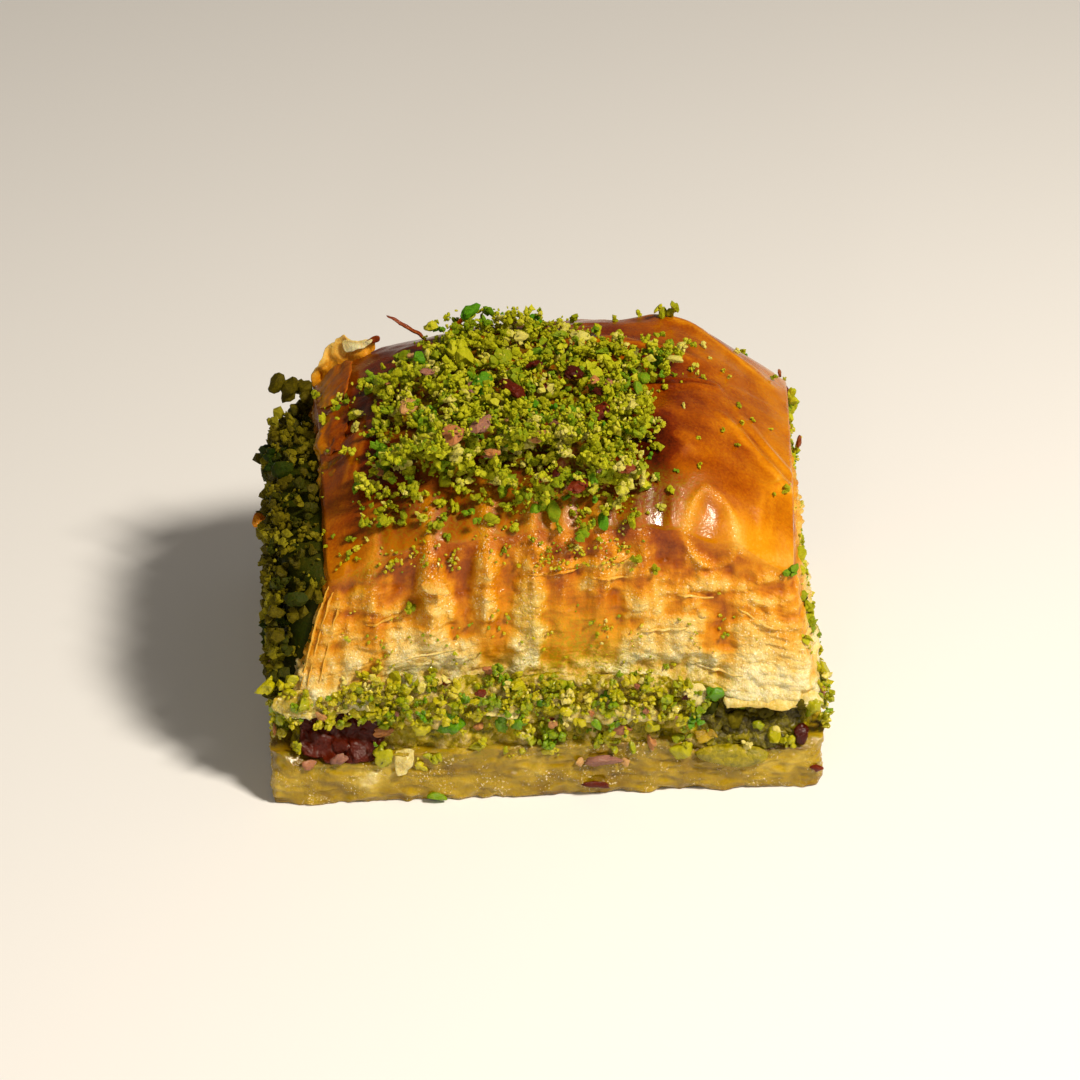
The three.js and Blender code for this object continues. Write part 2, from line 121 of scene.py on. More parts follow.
def uneven(points: Array, size: float | tuple[float, float, float], seed: int = 0) -> Array:
    """A smooth, patternless unevenness between about -1 and 1.

    Args:
        points: Places in millimetres, shape (n, 3).
        size: Over how many millimetres it comes and goes, one number or one for each axis.
        seed: Which unevenness to take.

    Returns:
        The unevenness at each place.
    """
    spot = points / np.asarray(size) + 0.37
    cell = np.floor(spot).astype(np.int64)
    inside = spot - cell
    fade = inside**3 * (inside * (inside * 6 - 15) + 10)
    total = np.zeros(len(spot))
    for corner in np.ndindex(2, 2, 2):
        number = hashed(cell + np.array(corner), seed)
        tilt = (number & 0xFFF) / 2047.5 - 1
        turn = (number >> 12) * (2 * math.pi / 4096)
        flat = np.sqrt(np.clip(1 - tilt * tilt, 0, 1))
        away = inside - np.array(corner)
        slope = away[:, 0] * flat * np.cos(turn) + away[:, 1] * flat * np.sin(turn) + away[:, 2] * tilt
        total += slope * np.prod(np.where(np.array(corner), fade, 1 - fade), axis=1)
    return 1.7 * total


def creased(points: Array, size: float | tuple[float, float, float], seed: int = 0) -> Array:
    """Thin raised lines, 1 on a line and 0 away from it, over about `size` millimetres."""
    return np.clip(1 - 3.2 * np.abs(uneven(points, size, seed)), 0, 1) ** 2


def pebbled(points: Array, size: float, seed: int = 0) -> tuple[Array, Array]:
    """Bits pressed together with no gaps, like chopped nuts in syrup.

    Returns:
        For each place, how far inside its bit it is, from 0 at the edge, and its bit's own number.
    """
    spot = points / size
    cell = np.floor(spot).astype(np.int64)
    nearest, second, number = (np.full(len(spot), fill) for fill in (np.inf, np.inf, 0.0))
    for step in np.ndindex(3, 3, 3):
        other = cell + np.array(step) - 1
        middle = other + np.stack([hashed(other, seed + k) for k in range(3)], axis=1) / 0x1000000
        away = np.linalg.norm(spot - middle, axis=1)
        closer = away < nearest
        second = np.where(closer, nearest, np.minimum(second, away))
        number = np.where(closer, hashed(other, seed + 3) / 0x1000000, number)
        nearest = np.minimum(nearest, away)
    return np.clip(second - nearest, 0, 1), number


def ripple(x: Array, y: Array, z: Array | float, size: float) -> Array:
    """The regular unevenness between -1 and 1 that the solids are made with."""
    k = 2 * math.pi / size
    first = np.sin(k * (0.91 * x + 0.37 * y + 0.23 * z) + 1.3)
    second = np.sin(k * (0.87 * y - 0.53 * x + 0.41 * z) + 4.1)
    third = np.sin(1.31 * k * (0.95 * z + 0.29 * x - 0.33 * y) + 2.2)
    return (first + second + third) / 3


def profile(points: Sequence[Point]) -> Callable[[Array], Array]:
    """A smooth curve through a few (position, value) points.

    Args:
        points: The points, in order of position.

    Returns:
        A function from positions to values, level beyond the ends.
    """
    at = np.array([p[0] for p in points], float)
    value = np.array([p[1] for p in points], float)
    before = np.maximum(np.arange(len(at)) - 1, 0)
    after = np.minimum(np.arange(len(at)) + 1, len(at) - 1)
    slope = (value[after] - value[before]) / (at[after] - at[before])

    def curve(position: Array) -> Array:
        """The curve's value at each position."""
        i = np.clip(np.searchsorted(at, position) - 1, 0, len(at) - 2)
        span = at[i + 1] - at[i]
        t = np.clip((position - at[i]) / span, 0, 1)
        s = 1 - t
        start = s * s * (1 + 2 * t) * value[i] + s * s * t * span * slope[i]
        return start + t * t * (3 - 2 * t) * value[i + 1] - t * t * s * span * slope[i + 1]

    return curve


def stack(*columns: Array | float) -> Array:
    """Joins columns of coordinates into one (n, k) table."""
    return np.stack(np.broadcast_arrays(*columns), axis=-1).astype(float)


# ---- The cut's form


@dataclass(frozen=True)
class Fold:
    """A soft fold in the crust: a rounded ridge from one (x, y) to another."""

    start: Point
    end: Point
    height: float
    width: float


@dataclass(frozen=True)
class Cut:
    """The outline, walls and crust that every layer of the cut shares. Sizes in millimetres."""

    foot_half_x: float = 22.9
    foot_half_y: float = 18.9
    upper_foot: tuple[float, float] = (-22.2, 22.6)
    lower_top: float = 4.9
    upper_underside: float = 9.4
    corner_power: int = 40
    lean: float = 0.9
    front_setback: float = 0.9
    spill_half_x: float = 13.0
    spill_centre_x: float = 0.2
    rim: tuple[Point, ...] = ((-18.3, -15.9), (20.1, -16.4), (22.8, 16.4), (-19.4, 16.9))
    crest: tuple[Point, ...] = (
        (-22, 21.2), (-18, 24.6), (-14, 26.9), (-7, 28.6), (4, 29.5), (13, 29.1), (18.5, 26.0), (24, 21.9),
    )
    fall: tuple[Point, ...] = (
        (-19, 9.6), (-16, 5.7), (-12, 2.7), (-7, 1.0), (0, 0.2), (6, 0.0), (12, 0.9), (16, 3.3), (19, 7.0),
    )
    folds: tuple[Fold, ...] = each(
        Fold, ((15.3, -4.4), (20.2, -9.4), 0.45, 0.75), ((17.2, -3.4), (20.8, -7.4), 0.3, 0.6),
        ((19.0, -10.2), (20.4, -9.0), 0.4, 0.5), ((7.5, -5.0), (13.0, -10.0), 0.25, 1.8),
        ((3.5, 6.5), (13.5, 3.2), 0.6, 1.2), ((10.5, 12.5), (20.5, 6.5), 0.6, 1.5),
        ((17.6, -15.0), (18.4, -11.0), 0.3, 0.8), ((-16.5, -9.0), (-13.5, 3.0), 0.5, 1.5),
    )
    crease: tuple[Point, Point] = ((7.4, -1.9), (14.8, -0.2))
    blister: tuple[float, float] = (13.2, -16.2)
    blister_radius: float = 2.3
    blister_height: float = 0.5
    blister_pool: float = 0.75
    pleats: tuple[Point, ...] = (
        (-14.5, 0.5), (-9.9, 0.9), (-5.2, 0.8), (-1.3, 0.7), (0.9, 0.6), (4.1, 0.6), (7.6, 0.3),
        (10.4, 0.12),
    )
    pleat_width: float = 0.95

    def rounded(self, u: Array, v: Array, power: float) -> tuple[Array, Array]:
        """Pulls the corners of a square in, so that its outline is a rounded one."""
        reach = np.maximum(np.abs(u), np.abs(v))
        norm = (np.abs(u) ** power + np.abs(v) ** power) ** (1 / power)
        scale = reach / np.where(norm == 0, 1, norm)
        return u * scale, v * scale

    def outwards(self, a: Array, b: Array) -> tuple[Array, Array]:
        """The direction straight out of the outline at (a, b), from -1 to 1 across the piece."""
        x = np.sign(a) * np.abs(a) ** 14
        y = np.sign(b) * np.abs(b) ** 14
        length = np.maximum(np.hypot(x, y), 1e-9)
        return x / length, y / length

    def rim_point(self, a: Array, b: Array) -> tuple[Array, Array]:
        """The place on the crust for a and b from -1 to 1 across it."""
        s, t = (a + 1) / 2, (b + 1) / 2
        front_left, front_right, back_right, back_left = np.array(self.rim)
        x, y = (
            blend(blend(front_left[k], front_right[k], s), blend(back_left[k], back_right[k], s), t)
            for k in (0, 1)
        )
        return x, y

    def relief(self, x: Array, y: Array) -> Array:
        """Folds, blister and pleats of the crust above its plain dome."""
        relief = 0.16 * ripple(x, y, 0, 7.5)
        for fold in self.folds:
            along, away = to_segment(x, y, fold.start, fold.end)
            away = away + 0.35 * fold.width * uneven(stack(x, y, 2.0), 1.8, 7)
            swell = np.sin(math.pi * np.clip(0.15 + 0.7 * along, 0, 1))
            relief += fold.height * bump(away, fold.width * 0.8) * swell
        relief += self.blistered(x, y)
        away = to_segment(x, y, *self.crease)[1] + 0.15 * uneven(stack(x, y, 0.0), 1.5, 6)
        relief += 0.3 * bump(away - 0.3, 0.4) - 0.25 * bump(away, 0.25)
        near_front = smoothstep(-y, 10.5, 15)
        wavy = x + 0.5 * uneven(stack(x, y, 0.0), 2.4, 45)
        for at, height in self.pleats:
            relief += 0.7 * height * near_front * bump(wavy - at, self.pleat_width * 0.8)
        return relief

    def from_blister(self, x: Array, along: Array) -> Array:
        """How far a place is from the middle of the burst blister, with its outline bent out of round.

        Past the rim, `along` goes on down the wall.
        """
        spot = stack(x, along, 0.0)
        out = np.hypot((x - self.blister[0]) / 0.95, along - self.blister[1])
        return out + 0.5 * uneven(spot, 2.6, 3) + 0.25 * uneven(spot, 1.1, 4)

    def blistered(self, x: Array, along: Array) -> Array:
        """How far the burst blister's edge stands out, and the syrup that fills it lies back."""
        out = self.from_blister(x, along)
        broken = np.clip(0.6 + 0.8 * uneven(stack(x, along, 5.0), 1.8, 5), 0.1, 1)
        edge = self.blister_height * broken * bump(out - self.blister_radius, 0.45)
        return edge - self.blister_pool * bump(out, self.blister_radius * 0.7)

    def crust(self, x: Array, y: Array) -> Array:
        """Height of the crust, without its fine wrinkles."""
        return profile(self.crest)(x) - profile(self.fall)(y) + self.relief(x, y)

    def lower_surface(self, x: Array, y: Array) -> Array:
        """Height of the soaked lower stack's top, pressed down by the nuts at its front corners."""
        corner = np.maximum(window(x, -21.6, -13.8, 0.8), window(x, 11.6, 22.4, 0.8))
        return self.lower_top + 0.15 * ripple(x, y, 0, 11) - 1.1 * corner * smoothstep(-y, 12, 16)

    def underside(self, x: Array, y: Array) -> Array:
        """Height of the upper stack's underside, which droops where its front corners curl over the nuts."""
        front = smoothstep(-y, 12, self.foot_half_y)
        corner = smoothstep(np.abs(x), 11, 20)
        return self.upper_underside - 1.5 * front * corner + 0.15 * ripple(x, y, 3, 13)

    def behind_spill(self, x: Array) -> Array:
        """1 where nuts spill over the front of the upper stack's foot, 0 beside them."""
        return 1 - smoothstep(np.abs(x - self.spill_centre_x), self.spill_half_x, self.spill_half_x + 3)

    def wall(self, a: Array, b: Array, rise: Array) -> tuple[Array, Array, Array]:
        """A place on the upper stack's wall.

        Args:
            a: Place across the outline, -1 left to 1 right.
            b: Place along the outline, -1 front to 1 back.
            rise: 0 at the foot to 1 at the rim of the crust.

        Returns:
            x, y and z in millimetres.
        """
        rim_x, rim_y = self.rim_point(a, b)
        lean = np.clip(rise, 0, 1) ** self.lean
        foot_x = blend(self.upper_foot[0], self.upper_foot[1], (a + 1) / 2)
        x = blend(foot_x, rim_x, lean)
        y = blend(b * self.foot_half_y, rim_y, lean)
        foot = self.underside(foot_x, b * self.foot_half_y)
        z = blend(foot, self.crust(rim_x, rim_y), rise)
        front = smoothstep(-b, 0.9, 1)
        y = y + self.front_setback * front * self.behind_spill(x) * (1 - smoothstep(rise, 0.1, 0.35))
        for at, height in self.pleats:
            over = smoothstep(rise, 0.25, 0.55) * (1 - smoothstep(rise, 0.9, 1))
            y = y - height * front * over * bump(x - at, self.pleat_width)
        return x, y, z


def to_segment(x: Array, y: Array, start: Point, end: Point) -> tuple[Array, Array]:
    """How far along a line the nearest place to (x, y) lies, from 0 to 1, and how far away it is."""
    dx, dy = end[0] - start[0], end[1] - start[1]
    along = np.clip(((x - start[0]) * dx + (y - start[1]) * dy) / (dx * dx + dy * dy), 0, 1)
    return along, np.hypot(x - start[0] - along * dx, y - start[1] - along * dy)


# ---- Making meshes


@dataclass
class Bench:
    """Where pieces are made: it puts forms in millimetres into the shared frame and hands pieces over."""

    middle: tuple[float, float]

    def place(self, piece: Piece, points: Array) -> None:
        """Moves a piece's corners to the given places, in millimetres."""
        metres = (points + np.array([*self.middle, 0.0])) * MM
        piece.data.vertices.foreach_set("co", metres.astype(np.float32).ravel())
        piece.data.update()

    def points(self, piece: Piece) -> Array:
        """The places of a piece's corners, in millimetres."""
        return corners(piece) / MM - np.array([*self.middle, 0.0])

    def hand_over(
        self, piece: Piece, finish: Material, slot: str, replaces: Sequence[str] = ()
    ) -> Piece:
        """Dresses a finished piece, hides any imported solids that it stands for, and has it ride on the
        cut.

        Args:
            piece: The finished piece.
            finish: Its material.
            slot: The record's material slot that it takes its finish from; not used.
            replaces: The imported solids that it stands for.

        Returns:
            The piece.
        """
        piece.data.materials.clear()
        piece.data.materials.append(finish)
        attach(piece, BODY)
        if replaces:
            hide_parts(*replaces)
        log.info("%s: %d triangles", piece.name, sum(len(p.vertices) - 2 for p in piece.data.polygons))
        return piece


def corners(piece: Piece) -> Array:
    """A piece's corners as stored, shape (n, 3)."""
    flat = np.empty(len(piece.data.vertices) * 3, np.float32)
    piece.data.vertices.foreach_get("co", flat)
    return flat.reshape(-1, 3).astype(float)


def paint(piece: Piece, **marks: Array | float) -> None:
    """Writes numbers for the corners of a piece, for its material to read."""
    for name, values in marks.items():
        attribute = piece.data.attributes.get(name) or piece.data.attributes.new(name, "FLOAT", "POINT")
        attribute.data.foreach_set("value", np.full(len(piece.data.vertices), values, np.float32))


def named_primitive(name: str) -> Piece:
    """Names the primitive that was just added, and returns it."""
    piece = bpy.context.active_object
    piece.name = piece.data.name = name
    return piece


@contextmanager
def editing() -> Iterator[None]:
    """Edit mode for the steps inside it."""
    bpy.ops.object.mode_set(mode="EDIT")
    yield
    bpy.ops.object.mode_set(mode="OBJECT")


def only(piece: Piece) -> None:
    """Selects one piece and nothing else."""
    bpy.ops.object.select_all(action="DESELECT")
    piece.select_set(True)
    bpy.context.view_layer.objects.active = piece


def grid_block(name: str, columns: int, rows: int, courses: int, crusted: bool = True) -> Piece:
    """A closed block modelled from a grid, ready to be shaped.

    The grid's edge is pulled down into walls, the walls are cut into courses, and the ends are closed by
    rings that shrink to a point. Its corners hold u and v from -1 to 1 across it, and z from 0 at the top
    to -1 at the foot.

    Args:
        name: The piece's name.
        columns: Faces from left to right.
        rows: Faces from front to back.
        courses: Faces from foot to top.
        crusted: Whether the top keeps the grid's faces. Otherwise it is closed by rings, as the foot is.

    Returns:
        The piece.
    """
    bpy.ops.object.select_all(action="DESELECT")
    bpy.ops.mesh.primitive_grid_add(x_subdivisions=columns, y_subdivisions=rows, size=2)
    piece = named_primitive(name)
    if not crusted:
        pick(piece, ~on_outline(*corners(piece).T[:2]), Part.CORNERS)
        with editing():
            bpy.ops.mesh.delete(type="VERT")
    pick(piece, on_outline(*corners(piece).T[:2]), Part.EDGES)
    with editing():
        bpy.ops.mesh.extrude_edges_move(TRANSFORM_OT_translate={"value": (0, 0, -1)})
        close_ring()
    if not crusted:
        u, v, drop = corners(piece).T
        pick(piece, on_outline(u, v) & (drop > -0.5), Part.EDGES)
        with editing():
            close_ring()
    upright = np.empty(len(piece.data.edges) * 2, np.int32)
    piece.data.edges.foreach_get("vertices", upright)
    ends = corners(piece)[upright.reshape(-1, 2)][:, :, 2]
    with editing():
        bpy.ops.mesh.select_all(action="DESELECT")
    piece.data.edges.foreach_set("select", np.abs(ends[:, 0] - ends[:, 1]) > 0.5)
    with editing():
        bpy.ops.mesh.subdivide(number_cuts=courses - 1)
    face_outwards(piece)
    return piece


def face_outwards(piece: Piece) -> None:
    """Turns all the faces of a closed piece outwards."""
    only(piece)
    with editing():
        bpy.ops.mesh.select_all(action="SELECT")
        bpy.ops.mesh.normals_make_consistent(inside=False)


def on_outline(u: Array, v: Array) -> Array:
    """Which corners of a block lie on its outline."""
    return np.maximum(np.abs(u), np.abs(v)) > 0.9999


def close_ring() -> None:
    """Closes the selected ring of edges with rings that shrink to a point."""
    for size in (0.9, 0.72, 0.5, 0.4):
        bpy.ops.mesh.extrude_edges_move(TRANSFORM_OT_translate={"value": (0, 0, 0)})
        bpy.ops.transform.resize(value=(size, size, 1), center_override=(0, 0, 0))
    bpy.ops.mesh.merge(type="CENTER")


class Part(Enum):
    """What of a mesh is picked."""

    CORNERS = "VERT"
    EDGES = "EDGE"


def pick(piece: Piece, chosen: Array, part: Part) -> None:
    """Selects the chosen corners of a piece, or the edges between two of them."""
    only(piece)
    with editing():
        bpy.ops.mesh.select_mode(type=part.value)
        bpy.ops.mesh.select_all(action="DESELECT")
    if part is Part.CORNERS:
        piece.data.vertices.foreach_set("select", chosen)
        return
    pairs = np.empty(len(piece.data.edges) * 2, np.int32)
    piece.data.edges.foreach_get("vertices", pairs)
    pairs = pairs.reshape(-1, 2)
    piece.data.edges.foreach_set("select", chosen[pairs].all(1))


def shade(piece: Piece, smooth: bool = True) -> None:
    """Shades a piece smooth all over, or flat."""
    piece.data.polygons.foreach_set("use_smooth", np.full(len(piece.data.polygons), smooth))
    piece.data.update()


def apply(piece: Piece, kind: str, **settings: float | bool | str) -> None:
    """Gives a piece one modifier with these settings, and applies it."""
    only(piece)
    modifier = piece.modifiers.new(kind.title(), kind)
    for key, value in settings.items():
        setattr(modifier, key, value)
    bpy.ops.object.modifier_apply(modifier=modifier.name)


def joined(name: str, pieces: Sequence[Piece]) -> Piece:
    """Joins pieces into the first of them, under a new name."""
    bpy.ops.object.select_all(action="DESELECT")
    for piece in pieces:
        piece.select_set(True)
    bpy.context.view_layer.objects.active = pieces[0]
    if len(pieces) > 1:
        bpy.ops.object.join()
    pieces[0].name = pieces[0].data.name = name
    return pieces[0]


def mesh_piece(name: str, points: Array, faces: Array) -> Piece:
    """A piece from arrays of corners and of triangles, for what is copied many times over."""
    mesh = bpy.data.meshes.new(name)
    mesh.vertices.add(len(points))
    mesh.vertices.foreach_set("co", points.astype(np.float32).ravel())
    mesh.loops.add(faces.size)
    mesh.loops.foreach_set("vertex_index", faces.astype(np.int32).ravel())
    mesh.polygons.add(len(faces))
    mesh.polygons.foreach_set("loop_start", np.arange(0, faces.size, 3, dtype=np.int32))
    mesh.polygons.foreach_set("loop_total", np.full(len(faces), 3, np.int32))
    mesh.update(calc_edges=True)
    piece = bpy.data.objects.new(name, mesh)
    bpy.context.scene.collection.objects.link(piece)
    return piece


# ---- Finishes


def linear(colour: str) -> tuple[float, float, float, float]:
    """Turns an sRGB hex colour into the linear one that shaders work in."""
    parts = [int(colour[i : i + 2], 16) / 255 for i in (1, 3, 5)]
    return (*(c / 12.92 if c <= 0.04045 else ((c + 0.055) / 1.055) ** 2.4 for c in parts), 1.0)


def add(
    tree: NodeTree, kind: str, sockets: dict[str | int, object] | None = None,
    stops: Sequence[tuple[float, str]] = (), **settings: object,
) -> bpy.types.Node:
    """Adds a shader node with its settings and links.

    Args:
        tree: The material's nodes.
        kind: The node's type.
        sockets: What each input holds: a value, or another node's output to link.
        stops: For a colour ramp, its (position, colour) stops.
        settings: The node's own settings.

    Returns:
        The node.
    """
    node = tree.nodes.new("ShaderNode" + kind)
    for key, value in settings.items():
        setattr(node, key, value)
    for name, value in (sockets or {}).items():
        if isinstance(value, bpy.types.NodeSocket):
            tree.links.new(value, node.inputs[name])
        else:
            node.inputs[name].default_value = value
    for i, (position, colour) in enumerate(stops):
        spot = node.color_ramp.elements[i] if i < 2 else node.color_ramp.elements.new(position)
        spot.position, spot.color = position, linear(colour)
    return node


def ramp(colours: str) -> tuple[tuple[float, str], ...]:
    """The stops of a nut's seven colours, from the greenest or darkest to the palest."""
    return tuple(zip((0.0, 0.16, 0.34, 0.5, 0.68, 0.84, 1.0), colours.split()))


def blank_material(name: str) -> tuple[Material, NodeTree, bpy.types.Node]:
    """A new material, its nodes and its output."""
    material = bpy.data.materials.new(name)
    material.use_nodes = True
    tree = material.node_tree
    tree.nodes.clear()
    return material, tree, add(tree, "OutputMaterial")


def per_metre(millimetres: float) -> float:
    """The scale of a noise whose detail comes and goes over this many millimetres."""
    return 1 / (millimetres * MM)


@dataclass(frozen=True)
class FiloFinish:
    """Sheets of filo pastry, brushed with butter, baked and soaked in sugar syrup.

    Where they are browned they are amber and glassy, where they only soaked they are pale, frosty with tiny
    bubbles and full of glints. Light goes half a millimetre or so into them. Piece attributes say how
    browned each place is, with some painted shade and painted light in it (tone), how smooth with syrup
    (syrup), how dusted with nut flour (dust) and how many sheets up it lies (level), which the fine lines of
    the sheet edges follow. Near-white spots in the colour are partly the whiteness of tiny bubbles and
    partly painted glints.
    """

    name: str = "syrup_soaked_filo"
    stops: tuple[tuple[float, str], ...] = (
        (0.0, "#ddd4a8"), (0.14, "#d7bc72"), (0.28, "#d3a342"), (0.42, "#ca870e"),
        (0.56, "#b86e00"), (0.7, "#954900"), (0.84, "#682200"), (1.0, "#300900"),
    )
    dust_colour: str = "#a09a08"
    mottle_mm: float = 1.5
    mottle_share: float = 0.28
    edge_mm: float = 0.75
    edge_share: float = 0.2
    sheet_step_mm: float = 0.8
    fleck_mm: float = 0.26
    bubble_mm: float = 0.26
    bubble_depth_mm: float = 0.17
    edge_depth_mm: float = 0.09
    # Near-white spots painted into the colour: partly the whiteness of tiny bubbles, partly painted glints.
    froth_glint_mm: float = 0.2
    froth_glint_share: float = 0.6
    froth_glint_colour: str = "#fff2cc"
    rough_syrup: float = 0.14
    rough_dry: float = 0.5
    rough_frost: float = 0.2
    gloss: float = 0.3
    coat: float = 0.1
    coat_roughness: float = 0.07
    speckle: float = 0.22
    depth_mm: float = 0.55
    depth_share: float = 0.22

    def material(self) -> Material:
        """Builds the material."""
        material, tree, output = blank_material(self.name)
        place = add(tree, "TexCoord").outputs["Object"]
        tone, syrup, dust, level = (
            add(tree, "Attribute", attribute_name=name).outputs["Fac"]
            for name in ("tone", "syrup", "dust", "level")
        )
        lifted = add(tree, "Math", {0: level, 1: self.sheet_step_mm * MM}, operation="MULTIPLY").outputs[0]
        height = add(tree, "CombineXYZ", {"Z": lifted}).outputs[0]
        squeezed = {0: place, 1: (0.38, 0.38, 0.0), 2: height}
        along = add(tree, "VectorMath", squeezed, operation="MULTIPLY_ADD").outputs[0]
        noise = ("Vector", "Scale", "Detail", "Roughness")
        mottle, edges, fleck, froth_glint_noise, bubbles = (
            add(tree, "TexNoise", dict(zip(noise, row))).outputs["Fac"]
            for row in (
                (place, per_metre(self.mottle_mm), 5.0, 0.65),
                (along, per_metre(self.edge_mm), 4.0, 0.62),
                (place, per_metre(self.fleck_mm), 3.0, 0.6),
                (place, per_metre(self.froth_glint_mm), 1.0, 0.5),
                (place, per_metre(self.bubble_mm), 2.0, 0.65),
            )
        )
        spans = ("Value", "From Min", "From Max", "To Min", "To Max")
        calmed, grains, froth_glint_mask, unglazed, frosted, soaked, frosty, layered = (
            add(tree, "MapRange", dict(zip(spans, row))).outputs[0]
            for row in (
                (syrup, 0.0, 1.0, 1.1, 0.42),
                (fleck, 0.4, 0.62, 0.0, 1.0),
                (froth_glint_noise, 0.62, 0.7, 0.0, self.froth_glint_share),
                (syrup, 0.0, 0.5, 1.0, 0.0),
                (syrup, 0.0, 0.5, self.rough_frost, self.rough_dry),
                (syrup, 0.75, 1.0, self.rough_dry, self.rough_syrup),
                (syrup, 0.0, 1.0, 1.0, 0.1),
                (syrup, 0.0, 1.0, 1.0, 0.3),
            )
        )
        middle = -0.5 * (self.mottle_share + self.edge_share)
        mottled = add(
            tree, "Math", {0: mottle, 1: self.mottle_share, 2: middle}, operation="MULTIPLY_ADD"
        ).outputs[0]
        lined = add(
            tree, "Math", {0: edges, 1: self.edge_share, 2: mottled}, operation="MULTIPLY_ADD"
        ).outputs[0]
        toned = add(
            tree, "Math", {0: lined, 1: calmed, 2: tone}, operation="MULTIPLY_ADD", use_clamp=True
        ).outputs[0]
        speckled = add(
            tree, "Math", {0: fleck, 1: self.speckle, 2: -self.speckle / 2}, operation="MULTIPLY_ADD"
        ).outputs[0]
        browned = add(tree, "Math", {0: toned, 1: speckled}, operation="ADD", use_clamp=True).outputs[0]
        colour = add(tree, "ValToRGB", {"Fac": browned}, stops=self.stops).outputs[0]
        dusted = add(tree, "Math", {0: dust, 1: grains}, operation="MULTIPLY", use_clamp=True).outputs[0]
        # Near-white spots where the surface is unglazed: partly bubble whiteness, partly painted glints.
        froth_glint_spots = add(tree, "Math", {0: froth_glint_mask, 1: unglazed}, operation="MULTIPLY").outputs[0]
        for share, tint in ((dusted, self.dust_colour), (froth_glint_spots, self.froth_glint_colour)):
            mixed = {"Factor": share, 6: colour, 7: linear(tint)}
            colour = add(tree, "Mix", mixed, data_type="RGBA").outputs[2]
        roughness = add(tree, "Math", {0: frosted, 1: soaked}, operation="MINIMUM").outputs[0]
        relief = {"Strength": frosty, "Distance": self.bubble_depth_mm * MM, "Height": bubbles}
        fine = add(tree, "Bump", relief).outputs[0]
        relief = {"Strength": layered, "Distance": self.edge_depth_mm * MM, "Height": edges, "Normal": fine}
        surface = add(tree, "Bump", relief).outputs[0]
        shader = add(
            tree, "BsdfPrincipled",
            {
                "Base Color": colour, "Roughness": roughness, "IOR": 1.38, "Normal": surface,
                "Specular IOR Level": self.gloss,
                "Subsurface Weight": self.depth_share, "Subsurface Radius": (1.0, 0.45, 0.12),
                "Subsurface Scale": self.depth_mm * MM,
                "Coat Weight": self.coat, "Coat Roughness": self.coat_roughness, "Coat Normal": surface,
            },
        )
        tree.links.new(shader.outputs["BSDF"], output.inputs["Surface"])
        return material


@dataclass(frozen=True)
class NutFinish:
    """Chopped or ground pistachio: a dense, waxy kernel, green inside, broken into rough matt faces.

    Its attribute tone runs through the stops, a different one for each crumb.
    """

    name: str
    stops: tuple[tuple[float, str], ...]
    roughness: float = 0.62
    coat: float = 0.0
    grain_mm: float = 0.28
    grain_depth_mm: float = 0.1
    depth_mm: float = 0.35
    veined: float = 0.5
    bit_mm: float = 0.0
    gloss: float = 0.22

    def material(self) -> Material:
        """Builds the material."""
        material, tree, output = blank_material(self.name)
        place = add(tree, "TexCoord").outputs["Object"]
        tone = add(tree, "Attribute", attribute_name="tone").outputs["Fac"]
        noise = {"Vector": place, "Scale": per_metre(self.grain_mm), "Detail": 3.0, "Roughness": 0.65}
        grain = add(tree, "TexNoise", noise).outputs["Fac"]
        veins = {0: grain, 1: self.veined, 2: -self.veined / 2}
        shifted = add(tree, "Math", veins, operation="MULTIPLY_ADD").outputs[0]
        relief = {"Strength": 1.0, "Distance": self.grain_depth_mm * MM, "Height": grain}
        surface = add(tree, "Bump", relief).outputs[0]
        if self.bit_mm:
            bits = add(tree, "TexVoronoi", {"Vector": place, "Scale": per_metre(self.bit_mm)}).outputs
            own = add(tree, "SeparateColor", {"Color": bits["Color"]}).outputs["Red"]
            shifted = add(tree, "Math", {0: own, 1: 0.3, 2: shifted}, operation="MULTIPLY_ADD").outputs[0]
            relief = {"Distance": 0.3 * self.bit_mm * MM, "Height": bits["Distance"], "Normal": surface}
            surface = add(tree, "Bump", {"Strength": 1.0, **relief}, invert=True).outputs[0]
        toned = add(tree, "Math", {0: tone, 1: shifted}, operation="ADD", use_clamp=True).outputs[0]
        colour = add(tree, "ValToRGB", {"Fac": toned}, stops=self.stops).outputs[0]
        shader = add(
            tree, "BsdfPrincipled",
            {
                "Base Color": colour, "Roughness": self.roughness, "IOR": 1.4, "Normal": surface,
                "Subsurface Weight": 0.25, "Subsurface Radius": (0.9, 1.0, 0.1),
                "Subsurface Scale": self.depth_mm * MM, "Specular IOR Level": self.gloss,
                "Coat Weight": self.coat, "Coat Roughness": 0.07, "Coat Normal": surface,
            },
        )
        tree.links.new(shader.outputs["BSDF"], output.inputs["Surface"])
        return material


# ---- Upper stack


@dataclass(frozen=True)
class Patch:
    """A soft-edged area of the front cut, in millimetres across and up it, and how strong it is."""

    left: float
    right: float
    foot: float
    top: float
    strength: float

    def mask(self, x: Array, z: Array, soft: float = 0.35) -> Array:
        """How strongly the patch holds at each place."""
        return self.strength * window(x, self.left, self.right, soft) * window(z, self.foot, self.top, soft)


